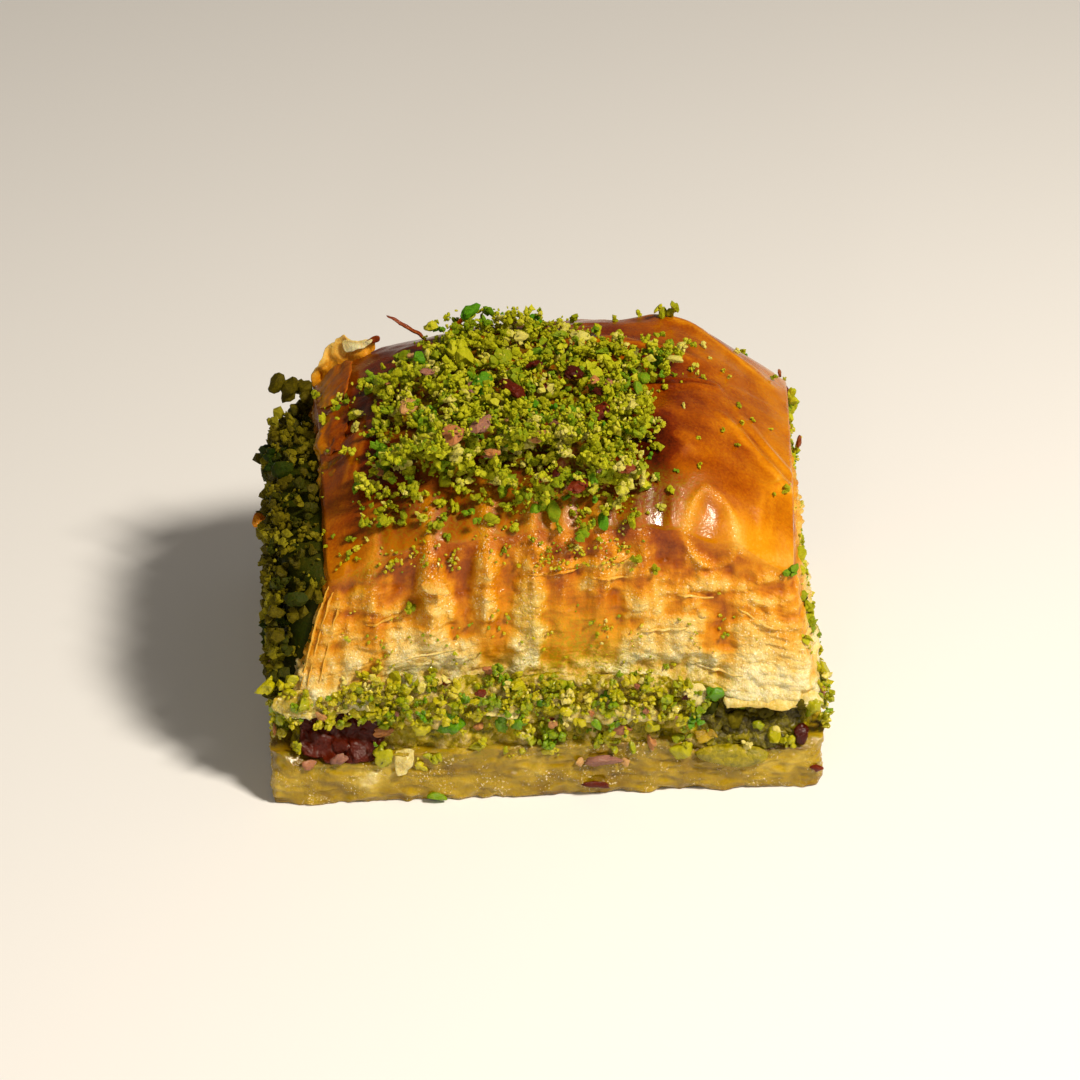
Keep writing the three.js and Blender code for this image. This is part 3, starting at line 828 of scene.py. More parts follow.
@dataclass
class UpperStack:
    """The puffed stack of browned sheets: its crust and its layered walls."""

    bench: Bench
    cut: Cut
    columns: int = 190
    rows: int = 140
    courses: int = 110
    sheets: int = 30  # layers that show on the walls
    sheets_from_z: float = 7.9
    sheet_bulge: float = 0.1
    wall_drop: float = 13.6  # from the rim to the foot along the front, for what runs over the rim
    front_browning: tuple[Point, ...] = (  # height from 0 to 1, and how browned
        (0, 0.17), (0.15, 0.22), (0.35, 0.32), (0.55, 0.4), (0.75, 0.45), (0.88, 0.48), (1.0, 0.6),
    )
    panels: tuple[Patch, ...] = each(  # glassy amber windows in the front
        Patch, (-0.6, 5.9, 11.8, 18.2, 1.0), (-6.2, -3.4, 11.6, 15.2, 0.8), (12.9, 14.5, 15.2, 18.0, 1.0),
        (12.6, 14.0, 13.0, 14.2, 0.7), (-18.5, -13.6, 18.8, 21.6, 0.8), (-13.1, -10.9, 17.6, 22.5, 1.0),
        (-8.0, -6.3, 14.4, 21.5, 1.0), (-4.5, -3.2, 13.0, 22.0, 1.0), (-0.3, 1.4, 18.0, 21.5, 0.7),
        (8.6, 10.7, 20.2, 24.0, 1.0), (5.4, 7.6, 18.4, 20.6, 0.6), (15.8, 17.6, 19.2, 22.0, 0.7),
        (16.7, 19.3, 17.6, 18.3, 0.7), (17.3, 20.7, 15.6, 16.4, 0.6),
    )
    lumps: tuple[Patch, ...] = each(  # pale, frosty ridges and crumbly spots on it
        Patch, (-10.7, -9.7, 19.4, 24.5, 0.9), (-10.2, -8.3, 15.8, 19.8, 1.0),
        (-13.4, -8.0, 11.6, 15.6, 1.0), (-18.2, -14.4, 16.8, 18.6, 0.8), (-19.2, -14.4, 13.0, 15.8, 0.35),
        (-6.0, -4.7, 19.6, 23.5, 0.8), (-6.4, -4.6, 16.6, 19.0, 1.0), (-3.2, -0.7, 11.7, 20.2, 1.0),
        (0.2, 6.8, 20.6, 21.6, 0.8), (6.0, 9.4, 16.0, 18.8, 0.8), (7.4, 12.4, 12.2, 16.0, 0.8),
        (10.8, 14.2, 18.2, 19.6, 1.0), (11.6, 12.5, 19.6, 23.6, 0.7), (15.3, 20.7, 16.6, 17.4, 0.8),
        (15.0, 21.5, 9.8, 15.2, 0.7),
    )

    def crust_relief(self, x: Array, y: Array) -> Array:
        """Fine wrinkles and undulation of the crust, in millimetres above its plain form."""
        spot = stack(x, y, 0.0)
        front = smoothstep(-y, 10, 15) * (1 - 0.85 * smoothstep(x, 4.5, 7.5))
        calm = 1 - 0.55 * smoothstep(x, 4, 12) * (1 - front)
        relief = 0.13 * uneven(spot, 3.4, 11) + 0.05 * uneven(spot, 1.3, 12) * calm
        relief += 0.09 * creased(spot, (6.5, 2.6, 3.0), 13) * calm
        beside = window(x, 5.5, 12.0, 1.0) * window(y, -17, -5.0, 1.5)
        relief += beside * (0.06 * uneven(spot, 0.8, 16) + 0.06 * creased(spot, (1.4, 2.6, 3.0), 17))
        pleated = 0.16 * uneven(spot, (1.0, 3.5, 3.0), 14) + 0.1 * creased(spot, (1.3, 5.0, 3.0), 15)
        return relief + front * pleated

    def crust_height(self, x: Array, y: Array) -> Array:
        """Height of the wrinkled crust."""
        return self.cut.crust(x, y) + self.crust_relief(x, y)

    def body(self) -> Piece:
        """The stack itself: crust, walls and foot in one closed piece."""
        cut = self.cut
        piece = grid_block("upper_stack", self.columns, self.rows, self.courses)
        u, v, drop = corners(piece).T
        a, b = cut.rounded(u, v, cut.corner_power)
        rise = np.clip(1 + drop, 0, 1)
        on_crust = drop > -1e-4
        outline = on_outline(u, v)
        in_foot = ~on_crust & ~outline
        x, y, z = cut.wall(a, b, rise)
        crust_x, crust_y = cut.rim_point(a, b)
        x, y = np.where(on_crust, crust_x, x), np.where(on_crust, crust_y, y)
        z = np.where(on_crust, cut.crust(x, y), z)
        foot_x = blend(cut.upper_foot[0], cut.upper_foot[1], (a + 1) / 2)
        foot_y = b * cut.foot_half_y
        x, y = np.where(in_foot, foot_x, x), np.where(in_foot, foot_y, y)
        z = np.where(in_foot, cut.underside(foot_x, foot_y), z)

        wall = outline & ~on_crust
        out_x, out_y = cut.outwards(a, b)
        offset, seam, frost, level = self.layering(x, y, z, a, b, rise)
        hold = np.where(wall, 1 - smoothstep(rise, 0.82, 1.0), 0) * smoothstep(rise, -0.02, 0.03)
        x, y = x + out_x * offset * hold, y + out_y * offset * hold
        over = np.where(on_crust, 1.0, np.where(outline, smoothstep(rise, 0.8, 1.0), 0.0))
        relief = self.crust_relief(np.where(on_crust, x, crust_x), np.where(on_crust, y, crust_y))
        z = z + relief * over
        sag = 0.18 * uneven(stack(x, y, 40.0), 2.4, 21) + 0.1 * uneven(stack(x, y, 41.0), 0.9, 22)
        z = z + np.where(outline, sag * (1 - smoothstep(rise, 0.0, 0.12)), 0)
        self.bench.place(piece, stack(x, y, z))

        tone, syrup, dust = self.browning(x, y, z, b, rise, on_crust, seam, frost, relief)
        paint(piece, tone=tone, syrup=syrup, dust=dust, level=np.where(on_crust, self.sheets, level))
        shade(piece)
        return piece

    def frosting(self, x: Array, y: Array, z: Array, b: Array, rise: Array) -> Array:
        """How frosty the wall is: 1 on pale, crumbly ridges and 0 in glassy amber hollows."""
        spot = stack(x, y, z)
        front = smoothstep(-b, 0.93, 1)
        across = x + 0.6 * uneven(spot, 2.2, 23) + 0.3 * uneven(spot, 0.8, 24)
        up = z + 0.6 * uneven(spot, 2.4, 25) + 0.25 * uneven(spot, 0.8, 26)
        frost = 0.5 + 0.45 * uneven(spot, (2.8, 2.8, 2.2), 27) + 0.3 * uneven(spot, (1.2, 1.2, 0.8), 28)
        frost += 0.3 * uneven(spot, (0.5, 0.5, 2.4), 29)
        frost += 0.3 * (1 - smoothstep(rise, 0.1, 0.5)) - 0.15 * smoothstep(rise, 0.6, 0.9)
        for patch in self.panels:
            frost = blend(frost, 0.5 * frost - 0.05, front * patch.mask(across, up, 0.4))
        for patch in self.lumps:
            frost = blend(frost, 0.5 * frost + 0.65, front * patch.mask(across, up, 0.4))
        return np.clip(frost, 0, 1)

    def layering(
        self, x: Array, y: Array, z: Array, a: Array, b: Array, rise: Array
    ) -> tuple[Array, Array, Array, Array]:
        """How far the wall stands out at each place because of its sheets.

        Returns:
            The offset in millimetres, how deep in a seam between sheets the place is from 0 to 1, how
            frosty it is from 0 to 1, and how many sheets up it lies.
        """
        spot = stack(x, y, z)
        frost = self.frosting(x, y, z, b, rise)
        rim_z = self.cut.crust(*self.cut.rim_point(a, b))
        upward = np.clip((z - self.sheets_from_z) / (rim_z - self.sheets_from_z), 0, 1.2)
        level = upward * self.sheets + 0.6 * uneven(stack(x, y, rise * 3), (7, 7, 1.5), 31)
        level = level + 0.22 * uneven(stack(x, y, rise * 8), (1.8, 1.8, 1.2), 32)
        sheet = np.floor(level)
        inside = level - sheet
        stick_out, below = (
            0.12 * uneven(stack(x, y, row * 5.3), (3.0, 3.0, 1.0), 33)
            + 0.14 * uneven(stack(x, y, row * 7.7), (1.1, 1.1, 1.0), 34)
            for row in (sheet, sheet - 1)
        )
        edge = blend(below, stick_out, smoothstep(inside, 0.0, 0.3))
        depth = 0.15 + 1.1 * uneven(stack(x, y, sheet * 3.1), (1.7, 1.7, 1.0), 35)
        seam = bump(np.minimum(inside, 1 - inside), 0.2) * np.clip(depth, 0.0, 1.2)
        crusted = 1 - 0.85 * smoothstep(rise + 0.14 * uneven(spot, (2.4, 2.4, 3.0), 40), 0.55, 0.85)
        offset = (edge - self.sheet_bulge * seam) * (0.45 + 0.55 * frost) * crusted
        offset += 0.55 * (frost - 0.5) * (1 - 0.5 * smoothstep(rise, 0.8, 1.0))
        offset += 0.2 * uneven(spot, 2.3, 37) + 0.1 * uneven(spot, 0.9, 38) * frost
        offset += (0.1 * uneven(spot, 0.5, 36) + 0.14 * uneven(spot, (0.65, 0.65, 2.6), 30)) * frost
        ragged = 1 - smoothstep(rise, 0.05, 0.3)
        offset += 0.25 * uneven(spot, (1.2, 1.2, 2.2), 39) * ragged
        offset += smoothstep(-b, 0.9, 1) * self.cut.blistered(x, self.down_front(b, rise))
        return offset, seam, frost, level

    def down_front(self, b: Array, rise: Array) -> Array:
        """How far along the crust a place on the front lies, if the crust went on down the wall."""
        return self.cut.blister[1] - self.wall_drop * (1 - rise) + FAR * (b > 0)

    def browning(
        self, x: Array, y: Array, z: Array, b: Array, rise: Array, on_crust: Array,
        seam: Array, frost: Array, relief: Array,
    ) -> tuple[Array, Array, Array]:
        """Browning with painted shade and light, syrup and nut dust at each place, each from 0 to 1."""
        spot = stack(x, y, z)
        front = smoothstep(-b, 0.93, 1)
        by_rise = profile(self.front_browning)(rise)
        wall_tone = 0.03 + blend(0.26 + 0.35 * smoothstep(rise, 0.6, 1.0), by_rise, 0.4 + 0.6 * front)
        wall_tone -= 0.06 * front * smoothstep(x, 11, 15) * smoothstep(rise, 0.6, 0.9)
        # Seams between sheets are darkened as painted shade.
        wall_tone += 0.04 * seam + 0.5 * (0.5 - frost) + 0.03 * front * smoothstep(x, 6, 14)

        heap_near = bump(np.hypot((x + 2.2) / 1.05, y + 1.8) - 13.0, 4.5)
        crust_tone = 0.66 + 0.12 * heap_near + 0.06 * uneven(spot, 5.0, 42) + 0.05 * uneven(spot, 1.6, 43)
        crust_tone -= 0.1 * smoothstep(x, 17.5, 22.0) + 0.06 * smoothstep(y, 12.0, 16.5)
        beside_heap = window(x + 0.5 * uneven(spot, 2.4, 45), 5.5, 10.6, 1.2) * window(y, -17, -5.5, 1.5)
        crust_tone += 0.2 * beside_heap - 0.12 * smoothstep(x, 13, 17) * smoothstep(-y, 12, 16)
        crust_tone += 0.1 * smoothstep(-x, 7.0, 11.0) - 0.12 * smoothstep(-x, 13.5, 17.5)
        crust_tone -= 0.1 * smoothstep(-y, 12.5, 16.0)
        beside_fold = np.hypot((x + 12.4) / 3.0, (y + 0.5) / 5.5) + 0.3 * uneven(spot, 1.8, 47)
        crust_tone += 0.18 * bump(beside_fold, 1.0)
        out = self.cut.from_blister(x, np.where(on_crust, y, self.down_front(b, rise)))
        blistered = 0.06 * bump(out, 1.6) - 0.16 * bump(out - self.cut.blister_radius, 0.45)
        crust_tone += blistered
        away = to_segment(x, y, *self.cut.crease)[1] + 0.15 * uneven(stack(x, y, 0.0), 1.5, 6)
        # The crease is darkened as painted shade.
        crust_tone += 0.12 * bump(away, 0.25)
        for fold in self.cut.folds:
            along, away = to_segment(x, y, fold.start, fold.end)
            rim = bump(away + 0.3 * uneven(spot, 1.6, 46) - 0.4, 0.3) * window(along, 0.0, 1.0, 0.2)
            crust_tone -= 0.3 * fold.height * rim
        wavy = x + 0.5 * uneven(spot, 2.4, 45)
        for at, height in self.cut.pleats:
            crust_tone -= 0.3 * height * smoothstep(-y, 9, 14) * bump(wavy - at, 0.6)
        # Hollows of the relief are painted darker as shade, and its crests paler as painted light.
        crust_tone -= 0.3 * np.clip(relief, -0.2, 0.3)
        near = np.clip(1.6 - 0.45 * out, 0, 1) * (b < 0)
        wall_tone = blend(wall_tone, 0.66 + 1.6 * blistered, near)
        tone = np.where(on_crust, crust_tone, blend(wall_tone, crust_tone, smoothstep(rise, 0.88, 1.0)))

        glazed = 0.92 + 0.1 * beside_heap + 0.16 * uneven(spot, 2.8, 44)
        syrup = np.where(on_crust, glazed, 1.0 - 1.15 * frost)
        for at, height in self.cut.pleats:
            on_pleat = smoothstep(-y, 10, 14) * bump(wavy - at, 0.7) * smoothstep(rise, 0.4, 0.7)
            syrup = syrup - 0.9 * height * on_pleat
        syrup = np.maximum(syrup, 1.1 * bump(out, 1.6)) - 0.6 * bump(out - self.cut.blister_radius, 0.5)
        spill = self.cut.behind_spill(x) * front * (1 - smoothstep(rise, 0.1, 0.3))
        haze = bump(x - 2.4, 3.8) * bump(z - 13.6, 3.0) + 0.8 * bump(x + 15.5, 2.0) * bump(z - 21, 2.0)
        haze *= front
        haze += 0.6 * front * bump(x + 2.0, 1.6) * bump(z - 17, 3.0)
        floury = smoothstep(-y, 11, 13.5) * (1 - smoothstep(np.abs(x + 1), 12, 16))
        foot = 0.22 * front * (1 - smoothstep(rise, 0.0, 0.35)) + 0.06 * front * (1 - rise)
        dust = np.where(on_crust, 0.25 * floury, 0.35 * spill + 0.6 * haze + foot)
        return np.clip(tone, 0, 1), np.clip(syrup, 0, 1), np.clip(dust, 0, 1)


# ---- Loose sheets


@dataclass(frozen=True)
class Lip:
    """The loose edge of one sheet on a wall.

    `middle` and `half` are millimetres along the wall from the piece's middle, `rise` its height from 0 at
    the foot to 1 at the rim, `reach` how far it stands out and `droop` how far its free edge hangs.
    """

    middle: float
    half: float
    rise: float
    reach: float
    droop: float
    slope: float
    tone: float


class Wall(Enum):
    """The four walls, as the outline's fixed coordinate and its value."""

    FRONT = ("b", -1.0)
    RIGHT = ("a", 1.0)
    BACK = ("b", 1.0)
    LEFT = ("a", -1.0)


@dataclass(frozen=True)
class Sheet:
    """A thin sheet drawn through rows of points in millimetres, from its held edge to its free one.

    `tones` say how browned it is at its held edge and at its free one, and `ragged` how many millimetres it
    wanders.
    """

    name: str
    tones: tuple[float, float]
    thickness: float
    syrup: float
    ragged: float
    dust: float
    net: tuple[tuple[tuple[float, float, float], ...], ...]


@dataclass
class LooseSheets:
    """Sheet edges that come away from the walls, and flakes that stand up or hang down."""

    bench: Bench
    upper: UpperStack
    thickness: float = 0.12
    columns: int = 40
    front_lips: tuple[Lip, ...] = each(
        Lip, (-0.5, 2.6, 0.77, 0.24, 0.2, 0.02, 0.4), (4.6, 2.4, 0.83, 0.26, 0.25, 0.02, 0.4),
        (4.4, 1.9, 0.72, 0.2, 0.12, -0.01, 0.34), (-15.6, 1.8, 0.6, 0.2, 0.15, 0.02, 0.36),
        (-10.9, 2.3, 0.3, 0.2, 0.15, 0.02, 0.16), (18.0, 1.8, 0.56, 0.2, 0.1, -0.02, 0.28),
        (12.4, 1.7, 0.62, 0.2, 0.12, 0.02, 0.28), (9.5, 2.2, 0.4, 0.2, 0.12, 0.02, 0.18),
        (14.0, 2.0, 0.16, 0.2, 0.15, 0.01, 0.16),
    )
    other_lips: int = 13
    seed: int = 77
    corner_edges: tuple[float, ...] = (-1.5, -0.4, 0.3)  # millimetres left of the innermost
    browned_sheets: tuple[Sheet, ...] = (
        Sheet(
            "curl_tip", (0.8, 0.86), 0.14, 0.6, 0.06, 0.0,
            (((-14.8, 12.3, 26.9), (-14.1, 12.3, 27.4), (-13.4, 12.2, 27.6)),
             ((-14.6, 12.2, 26.5), (-14.0, 12.2, 26.9), (-13.3, 12.1, 27.0))),
        ),
        Sheet(
            "left_drape", (0.7, 0.4), 0.1, 0.7, 0.16, 0.0,
            (((-15.6, 10.5, 26.3), (-16.0, 8.0, 26.5), (-16.2, 5.6, 26.4), (-16.4, 3.6, 26.1)),
             ((-17.6, 11.4, 25.0), (-17.7, 8.4, 25.3), (-17.6, 5.8, 25.4), (-17.6, 4.0, 25.4)),
             ((-19.2, 12.4, 22.4), (-19.2, 8.8, 23.2), (-19.0, 6.2, 23.8), (-18.5, 4.2, 24.6))),
        ),
        Sheet(
            "back_wisp_left", (0.75, 0.8), 0.2, 0.6, 0.1, 0.0,
            (((-8.6, 11.9, 26.2), (-9.6, 11.9, 27.4), (-10.8, 12.0, 28.2), (-12.8, 12.0, 29.4)),
             ((-8.9, 12.4, 26.3), (-9.9, 12.3, 27.7), (-11.1, 12.2, 28.6), (-12.9, 12.1, 29.7))),
        ),
        Sheet(
            "back_wisp_right", (0.72, 0.78), 0.2, 0.6, 0.1, 0.0,
            (((-8.4, 13.9, 25.4), (-7.6, 13.7, 26.6), (-6.9, 13.6, 27.8), (-6.0, 13.5, 28.7)),
             ((-8.0, 14.2, 25.3), (-7.2, 14.0, 26.6), (-6.5, 13.8, 27.6), (-5.5, 13.6, 28.5))),
        ),
        Sheet(
            "left_fold_upper", (0.8, 0.34), 0.09, 1.0, 0.26, 0.0,
            (((-16.0, 3.6, 26.0), (-16.2, 0.8, 25.9), (-16.5, -1.6, 25.5), (-16.8, -3.8, 24.9)),
             ((-17.2, 3.2, 25.9), (-17.6, 0.9, 25.5), (-17.8, -1.4, 25.1), (-17.6, -3.5, 24.6)),
             ((-18.1, 2.6, 25.2), (-18.9, 0.6, 24.7), (-18.9, -1.0, 24.4), (-18.3, -3.0, 24.0)),
             ((-18.4, 2.4, 24.3), (-19.3, 0.5, 23.7), (-19.3, -1.0, 23.4), (-18.7, -3.0, 22.9))),
        ),
        Sheet(
            "left_fold_lower", (0.78, 0.3), 0.09, 1.0, 0.24, 0.3,
            (((-16.9, -4.0, 24.8), (-16.7, -6.6, 24.5), (-16.4, -9.0, 23.9), (-16.2, -11.6, 23.0)),
             ((-17.9, -3.8, 24.3), (-17.5, -6.2, 23.9), (-17.1, -9.2, 23.4), (-16.8, -11.8, 22.7)),
             ((-18.8, -4.0, 23.6), (-18.4, -5.9, 23.1), (-17.8, -9.5, 22.7), (-17.3, -11.8, 22.1)),
             ((-19.1, -4.2, 22.7), (-18.8, -6.2, 22.1), (-18.4, -9.6, 21.6), (-17.9, -12.6, 21.0))),
        ),
        Sheet(
            "front_flap", (0.42, 0.22), 0.14, 0.3, 0.06, 0.0,
            (((-10.9, -17.9, 20.1), (-9.9, -18.0, 20.5), (-9.1, -17.9, 20.4)),
             ((-10.3, -18.5, 19.3), (-9.2, -18.9, 19.5), (-8.1, -18.6, 19.1))),
        ),
        Sheet(
            "curled_corner", (0.46, 0.2), 0.08, 0.6, 0.3, 0.0,
            (((-19.0, 13.6, 20.6), (-17.9, 13.2, 22.2), (-16.9, 12.8, 23.2), (-15.6, 12.4, 24.4),
              (-13.6, 12.2, 26.2)),
             ((-19.6, 13.5, 22.6), (-18.6, 13.8, 23.9), (-17.2, 13.4, 24.8), (-15.6, 12.8, 25.4),
              (-13.8, 12.4, 26.7)),
             ((-19.4, 13.3, 23.8), (-17.5, 13.7, 26.3), (-16.4, 13.2, 27.1), (-15.2, 12.6, 26.5),
              (-13.5, 12.4, 27.2))),
        ),
        Sheet(
            "curl", (0.12, 0.0), 0.08, 0.4, 0.14, 0.0,
            (((-17.0, 13.3, 26.4), (-16.2, 13.0, 26.9), (-15.0, 12.4, 26.9), (-13.7, 12.2, 27.3)),
             ((-16.4, 12.6, 25.7), (-15.9, 12.3, 26.0), (-15.1, 12.0, 26.3), (-14.3, 12.0, 26.7))),
        ),
        Sheet(
            "right_lip", (0.12, 0.2), 0.07, 0.3, 0.26, 0.35,
            (((14.2, -18.2, 9.0), (17.0, -18.3, 9.1), (19.8, -18.3, 9.0), (22.2, -18.2, 9.0)),
             ((14.2, -18.9, 8.4), (17.2, -19.3, 8.4), (20.0, -19.3, 8.2), (22.6, -18.9, 8.2)),
             ((14.4, -18.9, 7.9), (17.4, -19.3, 7.9), (20.3, -19.4, 7.8), (22.8, -19.0, 7.8))),
        ),
    )
    soaked_sheets: tuple[Sheet, ...] = (
        Sheet(
            "left_lip", (0.22, 0.04), 0.1, 0.2, 0.34, 0.2,
            (((-22.8, -18.2, 10.6), (-21.0, -18.4, 10.2), (-19.4, -18.3, 10.0), (-17.8, -17.9, 10.1)),
             ((-23.3, -18.9, 9.6), (-21.4, -19.3, 9.0), (-19.4, -19.1, 8.8), (-17.8, -18.6, 9.2)),
             ((-23.4, -18.7, 8.8), (-21.6, -19.2, 8.0), (-19.6, -19.1, 7.9), (-18.0, -18.7, 8.7))),
        ),
        Sheet(
            "spill_curl", (0.05, 0.0), 0.12, 0.3, 0.16, 0.0,
            (((10.9, -19.0, 10.4), (11.9, -19.2, 10.5), (12.8, -19.2, 10.3)),
             ((10.8, -19.9, 9.6), (11.9, -20.1, 9.5), (12.9, -19.9, 9.4)),
             ((11.2, -19.7, 8.8), (12.0, -19.9, 8.5), (12.8, -19.7, 8.8))),
        ),
        Sheet(
            "soft_shred_right", (0.16, 0.04), 0.12, 0.3, 0.3, 0.25,
            (((1.2, -19.4, 8.9), (3.6, -19.7, 8.9), (6.2, -19.7, 9.0), (8.6, -19.5, 8.8)),
             ((1.0, -19.9, 8.2), (3.8, -20.2, 8.0), (6.4, -20.2, 8.1), (9.0, -19.9, 8.0)),
             ((1.4, -19.7, 7.5), (4.0, -19.9, 7.2), (6.6, -19.9, 7.4), (8.8, -19.7, 7.3))),
        ),
        Sheet(
            "soft_shred_middle", (0.12, 0.04), 0.12, 0.3, 0.25, 0.2,
            (((-5.4, -19.5, 9.0), (-4.0, -19.7, 9.1), (-2.6, -19.5, 8.9)),
             ((-5.6, -19.9, 8.4), (-4.0, -20.1, 8.2), (-2.4, -19.9, 8.2))),
        ),
        Sheet(
            "soft_shred_low", (0.1, 0.02), 0.12, 0.3, 0.25, 0.0,
            (((-13.2, -19.6, 4.9), (-12.4, -19.8, 5.1), (-11.5, -19.6, 4.9)),
             ((-13.1, -20.2, 4.0), (-12.4, -20.3, 3.8), (-11.6, -20.2, 4.1)),
             ((-13.0, -20.1, 3.0), (-12.6, -20.2, 2.7), (-12.0, -20.1, 3.1))),
        ),
        Sheet(
            "hollow_shred", (0.5, 0.3), 0.12, 0.5, 0.35, 0.0,
            (((11.9, -19.0, 5.9), (12.8, -19.1, 6.0), (13.8, -19.0, 5.8)),
             ((11.9, -19.5, 5.2), (12.9, -19.7, 5.0), (13.9, -19.5, 5.2))),
        ),
    )

    def lips(self) -> Piece:
        """All the loose edges on the four walls."""
        rng = np.random.default_rng(self.seed)
        strips = [self.lip(Wall.FRONT, lip) for lip in self.front_lips]
        for wall, half in ((Wall.RIGHT, 15.5), (Wall.BACK, 19.0), (Wall.LEFT, 15.5)):
            for i in range(self.other_lips):
                rise = 0.06 + 0.86 * (i + rng.uniform(0.1, 0.9)) / self.other_lips
                middle, length = rng.uniform(-half, half), rng.uniform(2.5, 6.0)
                reach, droop, slope = rng.uniform(0.2, 0.5), rng.uniform(0.05, 0.3), rng.uniform(-0.04, 0.04)
                edge = Lip(middle, length, rise, reach, droop, slope, 0.1 + 0.35 * rise**2)
                strips.append(self.lip(wall, edge))
        return joined("upper_sheet_edges", strips)

    def lip(self, wall: Wall, lip: Lip) -> Piece:
        """One loose sheet edge, as a thin closed strip."""
        cut = self.upper.cut
        piece = strip("sheet_edge", self.columns, 4)
        along, across, _ = corners(piece).T
        half_span = cut.foot_half_x if wall in (Wall.FRONT, Wall.BACK) else cut.foot_half_y
        run = np.clip((lip.middle + lip.half * along) / (half_span - 0.6), -0.985, 0.985)
        fixed = np.full_like(run, wall.value[1])
        a, b = (run, fixed) if wall.value[0] == "b" else (fixed, run)
        a, b = cut.rounded(a, b, cut.corner_power)
        rise = lip.rise + lip.slope * along
        x, y, z = cut.wall(a, b, rise)
        offset, _, _, _ = self.upper.layering(x, y, z, a, b, rise)
        out_x, out_y = cut.outwards(a, b)
        taper = np.clip(1 - np.abs(along) ** 3, 0, 1)
        spot = stack(x, y, np.full_like(x, lip.rise * 40))
        ragged = 1 + 0.55 * uneven(spot, 1.7, 51) + 0.3 * uneven(spot, 0.6, 52)
        share = (across + 1) / 2
        reach = blend(-0.7, lip.reach * ragged * taper, share) + offset
        drop = lip.droop * taper * share**2 + 0.12 * uneven(spot, 2.1, 53) * share
        self.bench.place(piece, stack(x + out_x * reach, y + out_y * reach, z - drop))
        apply(piece, "SOLIDIFY", thickness=self.thickness * MM, offset=0.0)
        tone = np.clip(lip.tone + 0.12 * uneven(self.bench.points(piece), 1.5, 54), 0, 1)
        paint(piece, tone=tone, syrup=0.35, dust=0.0)
        shade(piece)
        return piece

    def drawn(self, sheet: Sheet) -> Piece:
        """A thin sheet drawn through its net of points.

        Args:
            sheet: The sheet.

        Returns:
            The piece, closed all round.
        """
        across, along = len(sheet.net), len(sheet.net[0])
        piece = strip(sheet.name, along - 1, across - 1)
        u, v, _ = corners(piece).T
        column = np.round((u + 1) / 2 * (along - 1)).astype(int)
        row = np.round((v + 1) / 2 * (across - 1)).astype(int)
        self.bench.place(piece, np.array(sheet.net)[row, column])
        paint(piece, tone=blend(*sheet.tones, (row / (across - 1)) ** 2))
        apply(piece, "SUBSURF", levels=3, render_levels=3)
        spot = self.bench.points(piece)
        wave = stack(*(uneven(spot, 1.1, 61 + k) + 0.5 * uneven(spot, 0.45, 64 + k) for k in range(3)))
        self.bench.place(piece, spot + sheet.ragged * wave)
        apply(piece, "SOLIDIFY", thickness=sheet.thickness * MM, offset=0.0)
        paint(piece, syrup=sheet.syrup, dust=sheet.dust)
        shade(piece)
        return piece

    def corner_edge(self, out: float) -> Piece:
        """One of the thin sheet edges that run down the front left corner.

        Args:
            out: How far left of the innermost edge it runs, in millimetres.
        """
        cut = self.upper.cut
        rise = np.linspace(0.1, 0.97, 7) - 0.08 * abs(out - 0.4)
        lean = rise**cut.lean
        at = -18.0 - 3.3 * (1 - rise) ** 0.8 - out
        foot = blend(np.array(cut.upper_foot), np.array([cut.rim[0][0], cut.rim[1][0]]), lean[:, None])
        a = 2 * (at - foot[:, 0]) / (foot[:, 1] - foot[:, 0]) - 1
        a, b = cut.rounded(a, np.full_like(a, -1.0), cut.corner_power)
        x, y, z = cut.wall(a, b, rise)
        held, free = stack(x + 0.4, y + 0.5, z), stack(x - 0.1, y - 0.14, z)
        net = (held.tolist(), free.tolist())
        return self.drawn(Sheet(f"corner_edge_{out}", (0.5, 0.3), 0.07, 0.7, 0.1, 0.0, net))

    def flakes(self) -> Piece:
        """The flakes and folded sheets that stand clear of the stack."""
        pieces = [self.drawn(sheet) for sheet in self.browned_sheets]
        pieces += [self.corner_edge(out) for out in self.corner_edges]
        return joined("upper_flakes", pieces)

    def shreds(self) -> Piece:
        """The frosted shreds along the front's foot."""
        return joined("soft_shreds", [self.drawn(sheet) for sheet in self.soaked_sheets])


def strip(name: str, columns: int, rows: int) -> Piece:
    """A flat grid from -1 to 1 each way, ready to be shaped into a sheet."""
    bpy.ops.object.select_all(action="DESELECT")
    bpy.ops.mesh.primitive_grid_add(x_subdivisions=columns, y_subdivisions=rows, size=2)
    return named_primitive(name)


# ---- Crumbs


class Side(Enum):
    """A side that crumbs settle on: its axes across, up and outwards, and which way outwards is."""

    TOP = (0, 1, 2, 1.0)
    FRONT = (0, 2, 1, -1.0)
    RIGHT = (1, 2, 0, 1.0)
    BACK = (0, 2, 1, 1.0)
    LEFT = (1, 2, 0, -1.0)


